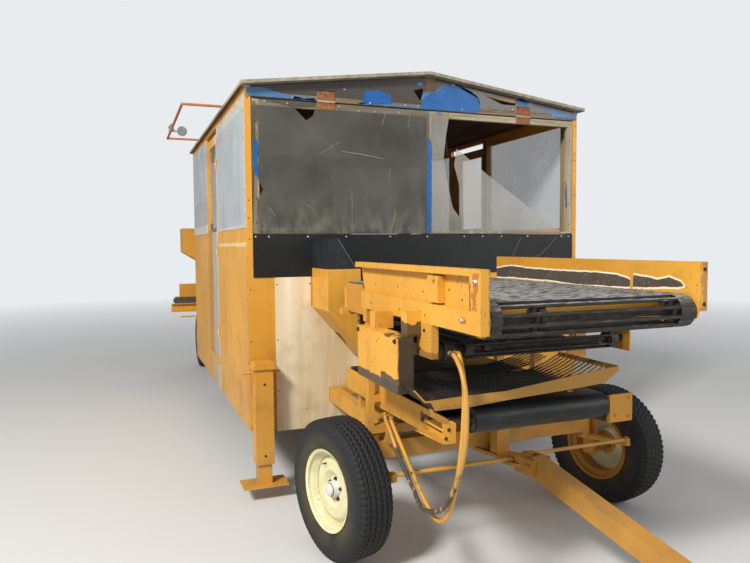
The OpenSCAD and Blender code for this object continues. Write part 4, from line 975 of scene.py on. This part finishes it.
thin_line("flap_edge", [(-820, 1736), (-764, 1646), (-697, 1541)], 2.5, -380.2)
thin_line("band_edge_a", [(816, 1748), (790, 1715), (764, 1668), (745, 1627), (732, 1593)], 2.2, -6.2)
thin_line("band_edge_b", [(1142, 1747), (1104, 1708), (1054, 1662), (998, 1614), (930, 1589)], 2.2, -6.2)
shaded_enamel = amber_enamel("shaded_enamel", "#C5872C", "#B97C27", 0.3, 0.3)
cut_sheet("panel_tail", [(-990, 1300), (-600, 1300), (-600, 1470), (-912, 1470), (-912, 1448), (-990, 1448)],
          "x", -844.5, 4, "trailer", shaded_enamel)

# %% [markdown]
# ## Hinge plates, screws and scratches on the sash
# The hinges are rusty leaves with countersunk holes. The clear sheet is held by bright round screws,
# and deep scratches on it catch the light, so these are drawn as hair-thin raised lines.

# %% Hinge plates and screws
for k, x in enumerate((-837, 758)):
    # the upper leaf sits on the gable, the lower one on the sash
    for leaf, low, high, seed, body in (("upper", 2690, 2751, 70, "trailer"),
                                        ("lower", 2627, 2669, 80, "front_sash")):
        outline = torn_edge([(x + 1, low), (x + 123, low), (x + 123, high), (x + 1, high)], 14, 0.8, seed + k)
        cut_sheet("hinge_leaf_%s_%d" % (leaf, k), outline, "y", -4.0, 1.2, body, old_rust)
    holes = ((22, 2738), (62, 2726), (102, 2740), (14, 2748))
    turned_heads("hinge_holes_%d" % k, [(x + across_leaf, -5.2, z) for across_leaf, z in holes], FRONT,
                 [(5.5, 0), (5, 0.3), (0.5, 0.35)], 12, dark_bolt, smooth=False)
    fasten([("hinge_screws_%d" % k, FRONT, -5.2, "flat screw", amber_bolt,
             [(x + 16, 2650), (x + 48, 2643), (x + 78, 2650), (x + 108, 2643)], "front_sash")])
fasten([("rail_screws", FRONT, -4, "round", bright_zinc,
         [(-1276, 2655), (-1201, 2655), (-1047, 2652), (-679, 2655), (-535, 2636), (-416, 2638), (-228, 2646),
          (182, 2644), (408, 2649), (664, 2655), (973, 2660), (1150, 2650), (1262, 2655)], "front_sash")])
sides_of_sash = [(x, y, z) for x, y in ((-1268, -4), (1268, 0)) for z in (1850, 2010, 2240, 2520)]
turned_heads("sash_side_screws", sides_of_sash, FRONT, HEADS["rivet"][1], 10, dark_bolt, "front_sash")
fasten([("gable_screws", FRONT, -4.6, "round", bright_zinc,
         [(-1009, 2695), (-450, 2696), (-177, 2700), (-73, 2700), (286, 2702), (729, 2730), (1154, 2711),
          (206, 2874), (-640, 2776), (-60, 2862)]),
        ("band_screws", FRONT, -6, "round", bright_zinc,
         [(x, 1754) for x in (-1277, -1187, -915, -637, -301, -5, 303, 465, 630, 869, 1190, 1259)])])

# %% Scratches on the window sheets
scratch_tone = plain_worn("scratch", "#A9A597", "#8C887A", "#C6C2B4", 12, 0.5)
SCRATCHES = {
    # pane: (x, z) of the start, (x, z) of the end, and the width, in mm, on the front of the sheet
    "left": [(-669, 2350, -349, 2309, 3.2), (-840, 2314, -663, 2420, 1.5), (-333, 2645, -366, 2534, 2.0),
             (-139, 2641, -159, 2538, 2.0), (-593, 2078, -596, 1779, 2.4), (-260, 1958, -293, 1788, 2.4),
             (-1190, 1960, -1130, 1880, 1.5), (-960, 2000, -860, 1930, 1.2), (-300, 2255, -310, 2150, 1.4)],
    "right": [(120, 2600, 170, 2350, 1.3), (60, 2180, 120, 1900, 1.4), (640, 1880, 625, 1780, 2.2),
              (990, 1880, 940, 1780, 2.2)],
}
POINTS = 9                 # along each side of a scratch
for group, lines in SCRATCHES.items():
    points, faces = [], []
    for *ends, wide in lines:
        a, b = np.array(ends, float).reshape(2, 2)
        side = np.array([a[1] - b[1], b[0] - a[0]]) / np.linalg.norm(b - a) * wide / 2
        t = np.linspace(0, 1, POINTS)[:, None]
        middle_line = a + t * (b - a) + np.sin(t * np.pi) * side * 2.2
        taper = np.sin(np.clip(t * 0.9 + 0.05, 0, 1) * np.pi) ** 0.5
        start = len(points)
        for p in (middle_line + side * taper, middle_line - side * taper):
            points += [(q[0], -4.25, q[1]) for q in p]
        faces += (grid_faces(2, POINTS) + start).tolist()
    new_piece("scratches_" + group, all_at(points), faces, "front_sash", scratch_tone)

# %% [markdown]
# ## Bolts and rivets on the amber sheets
# Rows of bolts give the scale of the sheet work. An even row is a start, an end and a number, so its
# spacing can be changed in one place, and the others are the spots that show in the photograph.

# %% Bolt rows
BOLT_ROWS = [
    # name, outward, level, kind, finish, points
    ("rail_chips", LEFT, -884, "flat", dark_bolt, [(-1135, 1386), (-1517, 1386), (-1793, 1385)]),
    ("tension_bolt", LEFT, -884, "hex", bright_zinc, [(-2130, 1398), (-2234, 1552)]),
    ("end_plate_bolts", LEFT, -884, "flat", amber_bolt, [(-2234, 1489), (-2227, 1458)]),
    ("stiffener_bolt", LEFT, -884, "hex", amber_bolt, [(-1882, 1546), (-2150, 1400)]),
    ("panel_chips", LEFT, -850, "flat", dark_bolt,
     [(-1118, 1487), (-1417, 1489), (-1706, 1483), (-2070, 1472), (-1958, 1506)]),
    ("guard_bolts", LEFT, -1000, "hex", dark_bolt, [(-1733, 1268), (-1258, 1268)]),
    ("hanger_bolts", LEFT, -884, "small", dark_bolt, [(-1745, 1232), (-1790, 1318)]),
    ("right_end_bolts", FRONT, -2275, "small", dark_bolt, [(212, 1430), (212, 1580)]),
    ("belt_end_bolts", FRONT, -1909, "small", dark_bolt, [(-826, 900), (-840, 862)]),
    ("belt_right_bolts", FRONT, -1905, "small", amber_bolt, [(150, 950), (150, 860), (70, 870)]),
    ("belt_side_bolts", LEFT, -800, "small", amber_bolt, row((-1500, 812), (-1180, 803), 3)),
    ("chute_rivets", FRONT, -380, "rivet", amber_bolt, row((-872, 1290), (-872, 1520), 4)),
    ("post_dots", LEFT, -1335, "flat", dark_bolt, row((20, 900), (20, 2640), 9)),
    ("post_front_dots", FRONT, 0, "flat", dark_bolt,
     [(-1316, 2673), (-1319, 1998), (-1322, 1881), (-1318, 1740), (-1318, 1400), (-1318, 1050), (-1318, 700)]),
    ("post_right_dots", FRONT, 0, "flat", dark_bolt, row((1318, 700), (1318, 2640), 8)),
    ("cream_sheet_screws", FRONT, -4, "flat", dark_bolt,
     [(-1138, 700), (-1138, 1050), (-1138, 1430), (-940, 560), (-905, 1430)]),
    ("wall_screws", LEFT, -1335, "flat", amber_bolt, row((60, 1800), (1330, 1800), 6)),
    ("rear_wall_screws", LEFT, -1335, "flat", amber_bolt, row((2160, 1800), (3280, 1800), 5)),
    ("eave_screws", LEFT, -1339, "flat", dark_bolt, [(y, 2682) for y in (134, 340, 553, 832, 1033, 1221)]),
    ("eave_screws_rear", LEFT, -1339, "flat", dark_bolt, row((2200, 2682), (3260, 2682), 5)),
    ("sheet_edge_screws", LEFT, -1339, "flat", dark_bolt,
     [(y, z) for y in (30, 1335) for z in (1900, 2065, 2253, 2414, 2586)]),
    ("right_eave_screws", RIGHT, 1339, "flat", dark_bolt,
     [(y, z) for y in (40, 350, 700, 1050, 1330, 2150, 2500, 2900, 3280) for z in (1830, 2682)]),
    ("jack_bolts", FRONT, -135, "small", dark_bolt, [(-1260, 300), (-1260, 780)]),
    ("rear_board_bolts", BACK, 4868, "hex", bright_zinc,
     [(-1360, 1040), (-1300, 1150), (-500, 1150), (300, 1150), (860, 1150)]),
    ("rear_channel_bolts", LEFT, -1385, "small", bright_zinc, [(4330, 1890), (4660, 1890)]),
]
print(fasten(BOLT_ROWS), "bolts and screws")

# %% [markdown]
# ## Floor and light
# A pale floor carries the shadow. One large soft lamp from the front left is the sun of the
# photograph, a weaker one fills from the right, and the world lifts the rest.

# %% Floor, world and lamps
new_material("pale_floor")
feed(shader.inputs["Base Color"], "#CFCDC8")
feed(shader.inputs["Roughness"], 0.9)
# far out the floor fades into the backdrop for the camera, near the object it keeps the shadow
far_off = vector_node("LENGTH", place, output="Value")
fade = times(step(far_off, 5.0, 17.0), add("ShaderNodeLightPath").outputs["Is Camera Ray"])
glow = add("ShaderNodeEmission", {"Color": "#E9ECEF", "Strength": 1.0})
blend = add("ShaderNodeMixShader", i0=fade, i1=shader.outputs[0], i2=glow.outputs[0])
feed(tree.nodes["Material Output"].inputs[0], blend.outputs[0])
mesh = bpy.data.meshes.new("floor")
HALF = 60.0                # half the floor's width in metres
mesh.from_pydata([(-HALF, -HALF, 0), (HALF, -HALF, 0), (HALF, HALF, 0), (-HALF, HALF, 0)], [], [(0, 1, 2, 3)])
mesh.materials.append(material)
in_scene("floor", mesh)

# the camera sees the backdrop, and everything else is lit by a dimmer one
world = bpy.data.worlds.new("studio")
bpy.context.scene.world = world
world.use_nodes = True
tree = world.node_tree
tree.nodes.clear()
seen = add("ShaderNodeBackground", {"Color": "#E9ECEF", "Strength": 1.0})
lit = add("ShaderNodeBackground", {"Color": "#E6ECF2", "Strength": 0.5})
ray = add("ShaderNodeLightPath").outputs
chosen = add("ShaderNodeMixShader", i0=most(ray["Is Camera Ray"], ray["Is Transmission Ray"]),
             i1=lit.outputs[0], i2=seen.outputs[0])
add("ShaderNodeOutputWorld", Surface=chosen.outputs[0])


def soft_lamp(name, spot, target, watts, size_m):
    """A square lamp that faces a target."""
    data = bpy.data.lights.new(name, "AREA")
    data.energy = watts
    data.size = size_m
    lamp = in_scene(name, data)
    lamp.rotation_euler = (Vector(target) - Vector(spot)).to_track_quat("-Z", "Y").to_euler()
    lamp.location = spot


soft_lamp("key", (-7.0, -6.5, 7.5), (0.0, -1.0, 1.0), 1250, 1.8)
soft_lamp("fill", (6.0, -8.0, 4.0), (0.0, -1.0, 1.2), 180, 4.0)
bpy.context.scene.view_settings.view_transform = "Standard"
